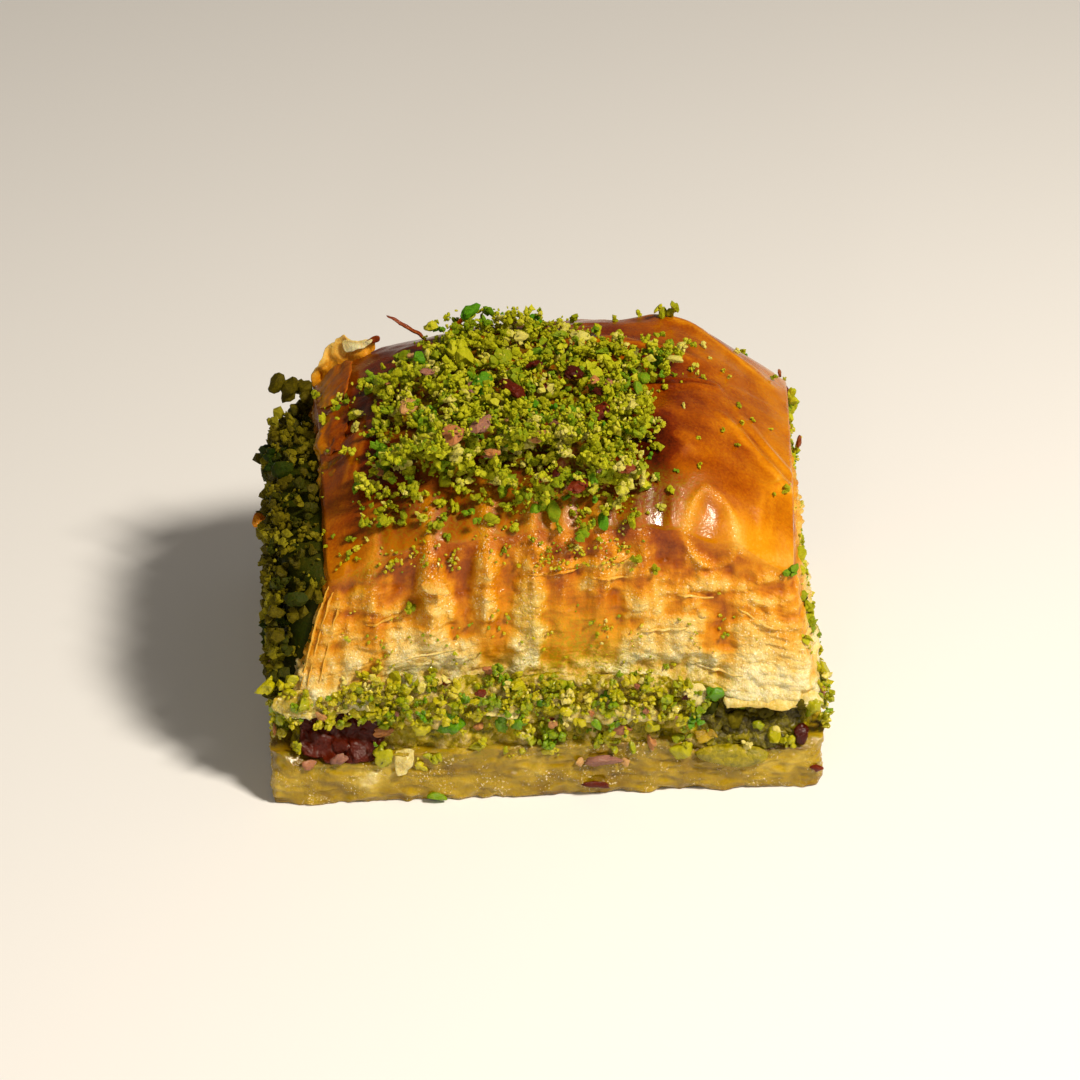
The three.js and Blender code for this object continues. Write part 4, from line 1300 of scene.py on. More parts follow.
@dataclass(frozen=True)
class CrumbForm:
    """How the crumbs of one kind are shaped. Radii in millimetres."""

    name: str
    radii: tuple[float, float]
    chips: int = 5
    lumpy: float = 0.28
    thin: float = 0.75
    detail: int = 2
    tones: tuple[float, float] = (0.2, 0.8)
    variants: int = 8
    seed: int = 1
    jagged: float = 0.0
    lobes: int = 1

    def clustered(self, ball: Array, rng: np.random.Generator) -> Array:
        """The corners of several rounded lobes grown together, from those of one ball."""
        middles = rng.normal(size=(self.lobes, 1, 3))
        away = rng.uniform(0.35, 0.75, (self.lobes, 1, 1))
        middles *= away / np.linalg.norm(middles, axis=2, keepdims=True)
        return (ball[None] * rng.uniform(0.36, 0.62, (self.lobes, 1, 1)) + middles).reshape(-1, 3)

    def shapes(self) -> tuple[Array, Array]:
        """Shapes of radius 1 for this kind.

        Returns:
            Corners, shape (variants, n, 3), and the triangles that they all share.
        """
        bpy.ops.object.select_all(action="DESELECT")
        bpy.ops.mesh.primitive_ico_sphere_add(subdivisions=self.detail, radius=1)
        ball = named_primitive("ball")
        round_points = corners(ball)
        faces = np.array([tuple(p.vertices) for p in ball.data.polygons])
        bpy.data.objects.remove(ball)
        faces = (faces[None] + np.arange(self.lobes)[:, None, None] * len(round_points)).reshape(-1, 3)
        rng = np.random.default_rng(self.seed)
        shapes = []
        for i in range(self.variants):
            points = self.clustered(round_points, rng) if self.lobes > 1 else round_points
            points = points * rng.uniform(0.8, 1.15, 3) * np.array([1.0, 0.9, self.thin])
            shift = rng.uniform(-50, 50, 3)
            swell = self.lumpy * uneven(points + shift, 0.9, 71 + i)
            swell += 0.5 * self.lumpy * uneven(points + shift, 0.45, 91 + i)
            points = points * (1 + swell[:, None] + self.jagged * rng.uniform(-1, 1, (len(points), 1)))
            for _ in range(self.chips):
                normal = rng.normal(size=3)
                normal /= np.linalg.norm(normal)
                depth = rng.uniform(0.45, 0.8) * np.abs(points @ normal).max()
                points -= np.outer(np.clip(points @ normal - depth, 0, None), normal)
            shapes.append(points / np.percentile(np.linalg.norm(points, axis=1), 80))
        return np.array(shapes), faces


@dataclass
class Crumbs:
    """Crumbs of one kind, collected as they settle and then made into one piece."""

    form: CrumbForm
    centres: list[Array] = field(default_factory=list)
    radii: list[float] = field(default_factory=list)
    turns: list[Array] = field(default_factory=list)
    tones: list[float] = field(default_factory=list)

    def keep(self, centre: Array, radius: float, turn: Array, tone: float) -> None:
        """Adds one crumb."""
        self.centres.append(centre)
        self.radii.append(radius)
        self.turns.append(turn)
        self.tones.append(tone)

    def piece(self, bench: Bench, name: str) -> Piece:
        """All the crumbs in one piece, each with its own turn, stretch and tone."""
        shapes, faces = self.form.shapes()
        rng = np.random.default_rng(self.form.seed + 500)
        count = len(self.radii)
        chosen = shapes[rng.integers(0, len(shapes), count)]
        stretch = rng.uniform(0.8, 1.2, (count, 1, 3)) * np.array(self.radii)[:, None, None]
        points = np.einsum("nij,nkj->nki", np.array(self.turns), chosen * stretch)
        points += np.array(self.centres)[:, None, :]
        per = shapes.shape[1]
        tris = (faces[None] + np.arange(count)[:, None, None] * per).reshape(-1, 3)
        made = mesh_piece(name, points.reshape(-1, 3), tris)
        bench.place(made, points.reshape(-1, 3))
        paint(made, tone=np.repeat(np.array(self.tones), per))
        shade(made, smooth=False)
        return made


@dataclass
class Bed:
    """A side seen square on, as heights on a fine grid, that crumbs settle on. Millimetres."""

    side: Side
    low: tuple[float, float]
    high: tuple[float, float]
    bench: Bench
    grid_step: float = 0.12
    heights: Array = field(init=False)

    def __post_init__(self) -> None:
        """Starts with nothing to settle on."""
        shape = [int((self.high[k] - self.low[k]) / self.grid_step) + 1 for k in (0, 1)]
        self.heights = np.full(shape, -np.inf)

    def cover(self, pieces: Sequence[Piece]) -> None:
        """Raises the grid to the outside of these pieces."""
        across, up, out, sign = self.side.value
        for piece in pieces:
            points = self.bench.points(piece)
            tree = BVHTree.FromPolygons(points.tolist(), [tuple(p.vertices) for p in piece.data.polygons])
            towards = [0.0, 0.0, 0.0]
            towards[out] = -sign
            start = [0.0, 0.0, 0.0]
            start[out] = 60 * sign
            for i in range(self.heights.shape[0]):
                start[across] = self.low[0] + i * self.grid_step
                for j in range(self.heights.shape[1]):
                    start[up] = self.low[1] + j * self.grid_step
                    hit = tree.ray_cast(start, towards)[0]
                    if hit is not None:
                        self.heights[i, j] = max(self.heights[i, j], hit[out] * sign)

    def rest(self, spot: Array, radius: float, thin: float) -> tuple[float, tuple[slice, slice], Array]:
        """Where a crumb's middle would come to rest above a spot, and the grid that it would cover."""
        reach = max(1, int(round(radius / self.grid_step)))
        i, j = (int(round((spot[k] - self.low[k]) / self.grid_step)) for k in (0, 1))
        rows, columns = self.heights.shape
        if i < reach or j < reach or i >= rows - reach or j >= columns - reach:
            return -np.inf, (slice(0, 0), slice(0, 0)), np.zeros((0, 0))
        offset = np.arange(-reach, reach + 1) / (reach + 0.5)
        inside = 1 - offset[:, None] ** 2 - offset[None, :] ** 2
        belly = np.where(inside > 0, np.sqrt(np.clip(inside, 0, 1)) * radius * thin, -np.inf)
        area = (slice(i - reach, i + reach + 1), slice(j - reach, j + reach + 1))
        return float((self.heights[area] + belly).max()), area, belly

    def settle(
        self, crumbs: Crumbs, spot: Array, radius: float, rng: np.random.Generator, roll: float = 0.8,
        sink: float = 0.3, ceiling: float = np.inf,
    ) -> bool:
        """Lets one crumb settle near a spot.

        Args:
            crumbs: Where to collect it.
            spot: Where it is dropped, across and up the side.
            radius: Its radius.
            rng: Random numbers.
            roll: How far it may roll to a lower place, in its own radii.
            sink: How far it sinks among the others, in its own radii.
            ceiling: The farthest out that its middle may come to rest.

        Returns:
            Whether it found a place.
        """
        thin = 0.5 + 0.4 * crumbs.form.thin
        best, best_spot, best_area, best_belly = np.inf, spot, None, None
        for _ in range(4):
            tried = spot + rng.uniform(-roll, roll, 2) * radius
            height, area, belly = self.rest(tried, radius, thin)
            if -np.inf < height < best:
                best, best_spot, best_area, best_belly = height, tried, area, belly
        centre = best - sink * radius
        if best_area is None or centre > ceiling:
            return False
        self.heights[best_area] = np.maximum(self.heights[best_area], centre + 0.9 * best_belly)
        across, up, out, sign = self.side.value
        place = np.zeros(3)
        place[across], place[up], place[out] = best_spot[0], best_spot[1], centre * sign
        turn = turned(rng, out, 1.0 if crumbs.form.thin > 0.6 else 0.35)
        patchy = 0.3 * float(uneven(place[None], 3.0, 70)[0])
        crumbs.keep(place, radius, turn, rng.uniform(*crumbs.form.tones) + patchy)
        return True


def turned(rng: np.random.Generator, out: int, freedom: float) -> Array:
    """A random turn, with the crumb's flat way kept towards an axis where its freedom is small."""
    normal = rng.normal(size=3)
    normal /= np.linalg.norm(normal)
    axis = np.zeros(3)
    axis[out] = 1.0
    normal = normal * freedom + axis * (1 - freedom) * 1.6
    normal /= np.linalg.norm(normal)
    side = np.cross(normal, rng.normal(size=3))
    side /= np.linalg.norm(side)
    return np.stack([side, np.cross(normal, side), normal], axis=1)


class Nut(Enum):
    """The kinds of crumb in the cut."""

    FLOUR = CrumbForm("flour", (0.1, 0.22), 2, 0.5, 0.85, 1, (0.3, 0.9), 12, 11, 0.3)
    GROUND = CrumbForm("ground", (0.26, 0.7), 2, 0.4, 0.85, 1, (0.25, 0.95), 24, 12, 0.22, 5)
    CHIP = CrumbForm("chips", (0.6, 1.15), 4, 0.6, 0.65, 2, (0.2, 0.75), 14, 13, 0.1, 3)
    GREEN = CrumbForm("green_chips", (0.4, 1.0), 4, 0.5, 0.65, 2, (0.0, 0.22), 10, 14, 0.08, 2)
    PALE = CrumbForm("pale_chips", (0.3, 0.65), 6, 0.4, 0.5, 2, (0.88, 1.0), 8, 15, 0.08)
    SKIN = CrumbForm("skins", (0.4, 0.95), 2, 0.5, 0.35, 3, (0.0, 1.0), 10, 16, 0.05)
    KERNEL = CrumbForm("kernels", (1.0, 1.0), 6, 0.7, 0.7, 3, (0.0, 1.0), 20, 17, 0.02)
    SLICE = CrumbForm("slices", (1.0, 1.0), 1, 0.22, 0.8, 3, (0.0, 1.0), 2, 19)


@dataclass(frozen=True)
class Larder:
    """The finishes that the crumbs are dressed in."""

    dry: Material
    wet: Material
    # For the left coat and the nuts in the right hollow: darkened as painted shade.
    packed_and_shaded: Material
    paste: Material
    dry_skin: Material
    wet_skin: Material


@dataclass
class Scatter:
    """Drops crumbs of several kinds on a bed and makes each kind into one piece."""

    bench: Bench
    bed: Bed
    seed: int
    crumbs: dict[Nut, Crumbs] = field(default_factory=dict)

    def __post_init__(self) -> None:
        """Starts its own random numbers."""
        self.rng = np.random.default_rng(self.seed)
        self.crumbs = self.crumbs or {nut: Crumbs(nut.value) for nut in Nut}

    def drop(
        self, weight: Callable[[Array], Array], ceiling: float | Callable[[Array], Array],
        nut: Nut, count: int, sink: float, under: float = 0.0, scale: float = 1.0,
    ) -> None:
        """Drops this many crumbs of a kind where the weight, from 0 to 1, lets them fall.

        Args:
            weight: The share of crumbs that stay, for places across and up the bed, shape (n, 2).
            ceiling: The farthest out that a crumb may reach, one number or worked out for places.
            nut: The kind.
            count: How many.
            sink: How far each sinks among the others, in its own radii.
            under: How far under the ceiling its middle has to rest.
            scale: How large they are beside the kind's usual size.
        """
        low, high = np.array(self.bed.low), np.array(self.bed.high)
        small, large = nut.value.radii
        left = count
        while left > 0:
            spots = self.rng.uniform(low, high, (4000, 2))
            spots = spots[self.rng.random(4000) < weight(spots)]
            if not len(spots):
                return
            limits = (ceiling(spots) if callable(ceiling) else np.full(len(spots), ceiling)) - under
            for spot, limit in list(zip(spots, limits))[:left]:
                radius = scale * (small + (large - small) * self.rng.random() ** 1.5)
                self.bed.settle(self.crumbs[nut], spot, radius, self.rng, sink=sink, ceiling=limit)
            left -= len(spots)

    def hand_over(self, prefix: str, finish: Material, skin_finish: Material, slot: str) -> None:
        """Makes one piece of each kind that was dropped, and hands them over."""
        for nut, crumbs in self.crumbs.items():
            if crumbs.radii:
                piece = crumbs.piece(self.bench, f"{prefix}_{nut.value.name}")
                self.bench.hand_over(piece, skin_finish if nut is Nut.SKIN else finish, slot)


@dataclass
class NutHeap:
    """Ground nuts heaped on the crust, over a low core, with single crumbs strewn round it."""

    bench: Bench
    upper: UpperStack
    centre: tuple[float, float] = (-2.2, -1.8)
    edge: tuple[Point, ...] = (
        (13.2, 0.8), (9.0, 2.8), (4.6, 6.8), (1.5, 10.2), (-4.5, 10.9), (-8.2, 9.2), (-10.2, 5.4),
        (-13.2, 5.4), (-16.4, 4.6), (-17.2, 0.4), (-16.4, -4.0), (-15.6, -9.0), (-14.4, -13.4),
        (-9.6, -15.4), (-4.4, -15.8), (0.6, -17.0), (4.4, -16.8), (7.6, -15.4), (8.6, -10.4), (9.2, -5.2),
        (9.4, -2.4),
    )
    bare: tuple[tuple[float, float, float, float, float], ...] = (  # x, y, half sizes and how bare
        (-15.6, -2.0, 2.6, 4.6, 0.85), (-12.6, 4.2, 2.6, 2.2, 0.6), (-3.0, 2.6, 5.5, 1.0, 0.7),
        (8.2, 6.4, 4.6, 3.2, 0.94), (-12.6, -6.6, 2.6, 2.0, 0.6), (-10.6, -14.6, 1.6, 1.6, 0.5),
        (3.2, -6.4, 1.4, 1.0, 0.6), (-3.4, -8.6, 1.0, 0.8, 0.6), (8.4, -4.6, 1.4, 1.6, 0.5),
    )
    core_reach: float = 0.86
    depth: float = 0.62
    ceiling: float = 32.2
    large: tuple[tuple[str, float, float, float], ...] = (  # kind, x, y and radius
        ("CHIP", -7.1, 2.2, 1.5), ("GREEN", -4.6, -3.2, 1.35), ("GREEN", -10.2, 2.6, 0.95),
        ("CHIP", -3.6, -0.4, 1.1), ("SKIN", -2.4, -5.6, 1.2), ("GREEN", -9.5, -12.2, 1.1),
        ("CHIP", -8.3, -12.9, 1.0), ("PALE", -9.8, -10.6, 0.9), ("CHIP", 0.4, -10.2, 0.95),
        ("SKIN", -4.2, -10.8, 0.8), ("GREEN", 7.9, -4.4, 1.15), ("CHIP", -7.9, -8.6, 0.9),
        ("GREEN", -1.4, -12.6, 0.9), ("CHIP", -5.6, -7.2, 0.9), ("SKIN", 4.6, -8.8, 1.0),
        ("CHIP", 3.0, 1.2, 1.0), ("PALE", 3.6, 4.0, 0.8), ("GREEN", -6.0, 7.6, 1.0),
        ("CHIP", -2.4, 8.6, 0.9), ("SKIN", 0.8, 4.2, 0.9), ("CHIP", -12.4, -1.6, 0.8),
        ("SKIN", -11.2, -4.4, 0.8), ("GREEN", 2.2, -4.6, 0.9), ("CHIP", 5.6, -12.0, 0.8),
    )
    strewn: tuple[tuple[float, float, float], ...] = (  # x, y and radius
        (11.6, 11.2, 0.75), (12.3, 10.7, 0.55), (11.0, 10.9, 0.45), (17.8, 9.5, 0.3), (14.4, 6.4, 0.35),
        (13.6, 6.1, 0.25), (16.4, 2.6, 0.24), (15.9, 3.2, 0.2), (20.9, 8.2, 0.32), (12.8, -8.8, 0.25),
        (13.5, 1.0, 0.22), (10.6, -12.4, 0.25), (11.8, -5.0, 0.22), (-16.7, -5.5, 0.55),
        (-16.2, -6.3, 0.45), (-15.6, -11.2, 0.6), (-15.0, -12.2, 0.5), (-16.4, -14.0, 0.5),
        (-15.2, -14.6, 0.45), (19.6, -2.2, 0.2), (14.9, 4.4, 0.2), (9.4, 12.8, 0.3), (7.2, 11.6, 0.35),
        (16.8, -1.8, 0.3), (16.9, -4.0, 0.34), (18.0, -2.6, 0.28), (15.0, -6.6, 0.24), (16.1, -7.6, 0.26),
        (12.6, -11.6, 0.26), (9.0, -13.1, 0.42), (10.1, -14.0, 0.4), (9.1, -15.2, 0.38), (8.1, -12.0, 0.45),
        (8.6, -14.2, 0.34), (11.0, 1.6, 0.5), (12.2, 1.0, 0.45), (11.8, 0.2, 0.4), (13.0, 0.6, 0.36),
        (10.4, 2.4, 0.5), (12.6, 1.8, 0.36), (14.0, 0.3, 0.3), (13.4, 1.4, 0.4), (10.8, 0.6, 0.45),
    )

    def share(self, x: Array, y: Array) -> Array:
        """How far out from the heap's middle a place is, where 1 is the heap's ragged edge."""
        cx, cy = self.centre
        polar = sorted((math.atan2(ey - cy, ex - cx), math.hypot(ex - cx, ey - cy)) for ex, ey in self.edge)
        turn = 2 * math.pi
        rounds = [(polar[-1][0] - turn, polar[-1][1]), *polar, (polar[0][0] + turn, polar[0][1])]
        reach = profile(rounds)(np.arctan2(y - cy, x - cx))
        return np.hypot(x - cx, y - cy) / reach

    def core(self) -> Piece:
        """The low heap of fine meal that the crumbs lie on."""
        piece = grid_block("nut_heap_core", 96, 96, 3)
        u, v, drop = corners(piece).T
        a, b = self.upper.cut.rounded(u, v, 2)
        share, angle = np.hypot(a, b), np.arctan2(b, a)
        cx, cy = self.centre
        one = 1 / self.share(cx + np.cos(angle), cy + np.sin(angle))
        x = cx + share * self.core_reach * one * np.cos(angle)
        y = cy + share * self.core_reach * one * np.sin(angle)
        spot = stack(x, y, 0.0)
        depth = self.depth * (1 - share**2) * (0.85 + 0.35 * ripple(x, y, 0, 6))
        lumps = 0.3 * uneven(spot, 2.2, 81) + 0.16 * uneven(spot, 0.9, 82) + 0.09 * uneven(spot, 0.45, 83)
        crust = self.upper.crust_height(x, y)
        top = crust + np.maximum(depth + lumps, -0.25) * np.clip(4 * (1 - share), 0, 1) - 0.1 * share**6
        z = blend(np.minimum(crust - 0.5, top - 0.2), top, 1 + drop)
        self.bench.place(piece, stack(x, y, z))
        dust = np.clip(0.35 + 0.5 * uneven(spot, 1.8, 88), 0, 1)
        paint(piece, tone=0.86 + 0.1 * uneven(spot, 2.0, 85), syrup=0.8, dust=dust)
        shade(piece)
        return piece

    def weight(self, spots: Array) -> Array:
        """How thickly crumbs fall at each place of the crust."""
        x, y = spots.T
        share = self.share(x, y)
        patches = uneven(stack(x, y, 3.0), 2.8, 86) + 0.6 * uneven(stack(x, y, 9.0), 1.2, 87)
        inside = np.clip((1.04 - share + 0.1 * patches) * 7, 0, 1)
        filled = np.clip(0.8 + 0.5 * patches, 0.15, 1)
        for bare_x, bare_y, half_x, half_y, how in self.bare:
            out = np.hypot((x - bare_x) / half_x, (y - bare_y) / half_y) + 0.25 * patches
            filled *= 1 - how * (1 - smoothstep(out, 0.7, 1.15))
        round_it = 0.04 * np.clip(1.45 - share, 0, 1) * (share > 0.95) * (1 - smoothstep(x, 6.5, 9.5))
        steep = 0.5 + 0.5 * smoothstep(-y, 3, 12)
        return np.clip((inside * filled + round_it) * steep, 0, 1)

    def strew(self, scatter: Scatter) -> None:
        """Drops all the heap's crumbs."""
        first = (
            (Nut.CHIP, 26, 0.5, 0.9), (Nut.GREEN, 18, 0.45, 0.8), (Nut.FLOUR, 900, 0.3, 0.2),
            (Nut.GROUND, 900, 0.35, 0.5), (Nut.SKIN, 30, 0.35, 0.6), (Nut.PALE, 24, 0.35, 0.6),
            (Nut.CHIP, 16, 0.5, 0.9, 0.8), (Nut.GREEN, 20, 0.45, 0.8, 0.7),
            (Nut.GROUND, 380, 0.3, 0.5, 0.85),
        )
        for row in first:
            scatter.drop(self.weight, self.ceiling, *row)
        for kind, x, y, radius in self.large:
            self.set_crumb(scatter, Nut[kind], x, y, radius, 0.7, self.ceiling - 0.7)
        for row in ((Nut.GROUND, 100, 0.3, 0.5, 0.7), (Nut.FLOUR, 900, 0.2, 0.2)):
            scatter.drop(self.weight, self.ceiling, *row)
        for x, y, radius in self.strewn:
            self.set_crumb(scatter, Nut.GROUND if radius < 0.7 else Nut.CHIP, x, y, radius, 0.25)

    def set_crumb(
        self, scatter: Scatter, nut: Nut, x: float, y: float, radius: float, sink: float,
        ceiling: float = np.inf,
    ) -> None:
        """Lets one crumb settle just where it belongs."""
        scatter.bed.settle(scatter.crumbs[nut], np.array([x, y]), radius, scatter.rng, 0.0, sink, ceiling)


@dataclass
class LeftCoat:
    """Ground nuts pressed against the left wall in painted shade, with a flake of pastry caught in them."""

    bench: Bench
    upper: UpperStack
    outer_x: float = -23.5
    least_depth: float = 0.45
    ends: tuple[float, float] = (-0.93, 0.93)
    rises: tuple[float, float] = (0.06, 0.93)
    top: tuple[Point, ...] = (
        (-18, 15.5), (-15, 19.4), (-12, 21.3), (-9, 21.9), (-3, 22.6), (3, 22.8), (7, 21.9), (10, 20.8),
        (13, 18.8), (16, 16.6), (18.5, 12.0),
    )
    overhang: tuple[tuple[tuple[float, float, float], float], ...] = (
        ((-21.9, 12.6, 22.7), 1.15), ((-20.9, 12.8, 22.0), 1.4), ((-20.6, 12.0, 20.9), 1.5),
        ((-19.7, 12.0, 21.6), 1.1),
    )
    overhang_tone: float = 0.55
    stuck: Sheet = Sheet(
        "stuck_flake", (0.62, 0.44), 0.14, 0.4, 0.3, 0.0,
        (((-22.4, -4.2, 18.5), (-23.6, -4.5, 19.3), (-24.7, -4.7, 19.4)),
         ((-22.4, -5.3, 17.9), (-23.7, -5.5, 18.6), (-24.9, -5.5, 18.9))),
    )

    def core(self) -> Piece:
        """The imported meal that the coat's crumbs stick in."""
        piece = grid_block("nut_coat_core", 120, 60, 3)
        u, v, drop = corners(piece).T
        b = blend(self.ends[0], self.ends[1], (u + 1) / 2)
        rise = blend(self.rises[0], self.rises[1], (v + 1) / 2)
        x, y, z = self.upper.cut.wall(np.full_like(b, -1.0), b, rise)
        spot = stack(x, y, z)
        inner = x + 0.5
        outer = np.minimum(self.outer_x + 1.1 + 0.4 * ripple(3, b * 18, rise * 12, 7), x - self.least_depth)
        outer += 0.3 * uneven(spot, 3.0, 101) + 0.2 * uneven(spot, 0.9, 102)
        above = smoothstep(z - profile(self.top)(y), -1.6, 0.2)
        edge = 1 - np.maximum(0.75 * np.maximum(np.abs(u), np.abs(v)) ** 8, above)
        share = np.clip(1 + drop, 0, 1) * edge
        self.bench.place(piece, stack(blend(inner, outer, share), y, z))
        face_outwards(piece)
        paint(piece, tone=np.clip(0.3 + 0.1 * uneven(spot, 1.8, 103), 0, 1))
        shade(piece)
        return piece

    def weight(self, spots: Array) -> Array:
        """How thickly crumbs stick at each place of the side."""
        y, z = spots.T
        patches = uneven(stack(y, z, 3.0), 3.0, 104) + 0.5 * uneven(stack(y, z, 9.0), 1.3, 105)
        cut = self.upper.cut
        b = np.clip(y / cut.foot_half_y, -1, 1)
        rim_z = cut.crust(*cut.rim_point(np.full_like(b, -1.0), b))
        wall_y = -cut.foot_half_y + 3.0 * np.clip((z - cut.upper_underside) / 12.6, 0, 1) ** cut.lean
        ends = smoothstep(y - wall_y, 0.5, 1.3) * (1 - smoothstep(y, 17.4, 18.6)) * smoothstep(z, 8.4, 9.8)
        ends *= 1 - smoothstep(z - np.minimum(rim_z - 0.4, profile(self.top)(y)), -0.9, -0.1)
        return ends * np.clip(0.8 + 0.8 * patches, 0.25, 1)

    def reach(self, spots: Array) -> Array:
        """How far left a crumb may lie at each place of the side."""
        y, z = spots.T
        narrowed = 0.8 * smoothstep(z - profile(self.top)(y), -3.0, -0.5)
        return -self.outer_x - narrowed + 0.25 * uneven(stack(y, z, 0.0), 2.0, 107)

    def ledge_weight(self, spots: Array) -> Array:
        """How thickly crumbs lie on top of the coat, beside the crust."""
        x, y = spots.T
        b = np.clip(y / self.upper.cut.foot_half_y, -1, 1)
        rim_x = self.upper.cut.rim_point(np.full_like(b, -1.0), b)[0]
        patches = np.clip(0.9 + 0.6 * uneven(stack(x, y, 31.0), 2.4, 106), 0, 1)
        onto = np.maximum(window(x, -23.0, -20.6, 0.3), window(x - rim_x, -3.2, -0.6, 0.4))
        return window(y, -16.6, 12.0, 0.6) * onto * patches

    def ledge_top(self, spots: Array) -> Array:
        """How high a crumb may lie on top of the coat at each place."""
        x, y = spots.T
        return profile(self.top)(y) + 0.2 - 0.8 * np.maximum(-20.6 - x, 0)

    def strew(self, scatter: Scatter) -> None:
        """Presses all the coat's crumbs in."""
        for row in (
            (Nut.CHIP, 60, 0.5), (Nut.FLOUR, 500, 0.3), (Nut.GROUND, 640, 0.35, 0.0, 1.5),
            (Nut.SKIN, 16, 0.35), (Nut.GROUND, 480, 0.4), (Nut.FLOUR, 1400, 0.2),
        ):
            scatter.drop(self.weight, self.reach, *row)

    def strew_ledge(self, scatter: Scatter) -> None:
        """Heaps crumbs on top of the coat, and one large overhanging lump at its back."""
        for row in ((Nut.CHIP, 24, 0.6), (Nut.GROUND, 300, 0.4, 0.0, 1.3), (Nut.FLOUR, 260, 0.3)):
            scatter.drop(self.ledge_weight, self.ledge_top, *row)
        for place, radius in self.overhang:
            turn = turned(scatter.rng, 2, 1.0)
            scatter.crumbs[Nut.CHIP].keep(np.array(place), radius, turn, self.overhang_tone)

    def flake(self, sheets: LooseSheets) -> Piece:
        """The flake of pastry caught in the coat."""
        return sheets.drawn(self.stuck)


@dataclass
class StrayCrumbs:
    """Ground nuts that stick to the right and back walls in patches."""

    upper: UpperStack
    patchy_mm: float = 3.4

    def weight(self, spots: Array) -> Array:
        """How thickly crumbs stick at each place of a side."""
        across, z = spots.T
        patches = uneven(stack(across, z, 13.0), self.patchy_mm, 151)
        patches += 0.4 * uneven(stack(across, z, 9.0), 1.2, 152)
        return np.clip(1.6 * patches - 0.25, 0, 1) * window(z, 8.8, 23.0, 1.5)

    def strew(self, scatter: Scatter, share: float, out: float) -> None:
        """Sticks a wall's crumbs on. Their number is this share of the right wall's."""
        for nut, count, *row in (
            (Nut.CHIP, 16, 1.1, 0.9), (Nut.GREEN, 4, 1.0, 0.8, 0.7), (Nut.GROUND, 90, 0.9, 0.5),
            (Nut.SKIN, 6, 0.5, 0.5, 0.8), (Nut.FLOUR, 120, 0.5, 0.3),
        ):
            scatter.drop(self.weight, out, nut, round(count * share), *row)


# ---- Lower stack and filling


@dataclass
class LowerStack:
    """The soaked stack of sheets that the cut stands on."""

    bench: Bench
    cut: Cut
    columns: int = 190
    rows: int = 150
    courses: int = 34
    sheets: int = 7
    ledge: float = 0.2

    def body(self) -> Piece:
        """The stack in one closed piece, with ragged sheet edges and a rough foot."""
        piece = grid_block("lower_stack", self.columns, self.rows, self.courses, crusted=False)
        u, v, drop = corners(piece).T
        a, b = self.cut.rounded(u, v, self.cut.corner_power)
        rise = np.clip(1 + drop, 0, 1)
        x, y = a * self.cut.foot_half_x, b * self.cut.foot_half_y
        z = rise * self.cut.lower_surface(x, y)
        forward = smoothstep(-b, 0.6, 1.0)
        y = y - forward * blend(0.95, 0.5, smoothstep(x, -14, 16))
        x = x - 0.6 * smoothstep(-a, 0.7, 1.0) * smoothstep(-b, -0.2, 1.0)
        outline = on_outline(u, v)
        level = rise * self.sheets + 1.2 * uneven(stack(x, y, rise * 3), (5, 5, 1.5), 111)
        inside = level - np.floor(level)
        spot = stack(x, y, z)
        soft = np.clip(0.7 + uneven(spot, 2.6, 113), 0, 1)
        seam = bump(np.minimum(inside, 1 - inside), 0.2) * (1 - soft)
        lumps = 0.26 * uneven(spot, (2.6, 2.6, 1.8), 114) + 0.14 * uneven(spot, (1.2, 1.2, 0.8), 115)
        fine = 0.1 * uneven(spot, (0.9, 0.9, 0.5), 116) + 0.08 * uneven(spot, 0.5, 112)
        fine += 0.12 * creased(spot, (2.2, 2.2, 0.9), 124)
        offset = lumps + fine - 0.5 * self.ledge * seam
        foot = 1 - smoothstep(rise, 0.0, 0.16)
        offset += foot * (0.25 * uneven(spot, (1.4, 1.4, 9.0), 117) - 0.12)
        out_x, out_y = self.cut.outwards(a, b)
        x, y = x + out_x * offset * outline, y + out_y * offset * outline
        lift = np.clip(0.05 + 0.22 * uneven(stack(x, y, 5.0), 2.6, 118), 0, 0.25)
        lift += np.clip(0.2 * uneven(stack(x, y, 8.0), 0.8, 119), 0, 0.15)
        z = z + np.where(outline, foot * lift, 0)
        self.bench.place(piece, stack(x, y, z))
        tone = 0.42 + 0.2 * uneven(spot, (3.4, 3.4, 2.4), 120) + 0.12 * uneven(spot, (1.2, 1.2, 0.9), 122)
        # Raised lumps are painted paler as painted light, and hollows and seams darker as painted shade.
        tone += 0.08 * foot + 0.05 * seam - 0.3 * lumps - 0.4 * fine - 0.06 * smoothstep(x, 15, 22)
        tone -= 0.24 * bump(np.hypot((x + 16.0) / 2.6, (z - 2.4) / 1.3), 1.0)
        # The top under the nut hollows is darkened as painted shade.
        under = np.maximum(window(x, -21.5, -14.5, 0.8), window(x, 11.8, 21.5, 0.8))
        tone += 0.4 * under * smoothstep(rise, 0.96, 1.0) * (y < -14)
        syrup = np.clip(0.45 - lumps + 0.9 * uneven(spot, 1.4, 123), 0, 1)
        top_dust = smoothstep(rise, 0.6, 1.0) * np.clip(0.4 + uneven(spot, 2.6, 121), 0, 1)
        paint(piece, tone=np.clip(tone, 0, 1), syrup=syrup, dust=0.8 * top_dust, level=level)
        shade(piece)
        return piece


@dataclass(frozen=True)
class Bit:
    """One nut piece set on the front: its place, its size across, up and through, and its tilt."""

    x: float
    z: float
    width: float
    height: float
    depth: float
    tone: float
    tilt: float = 0.0
    proud: float = 0.3


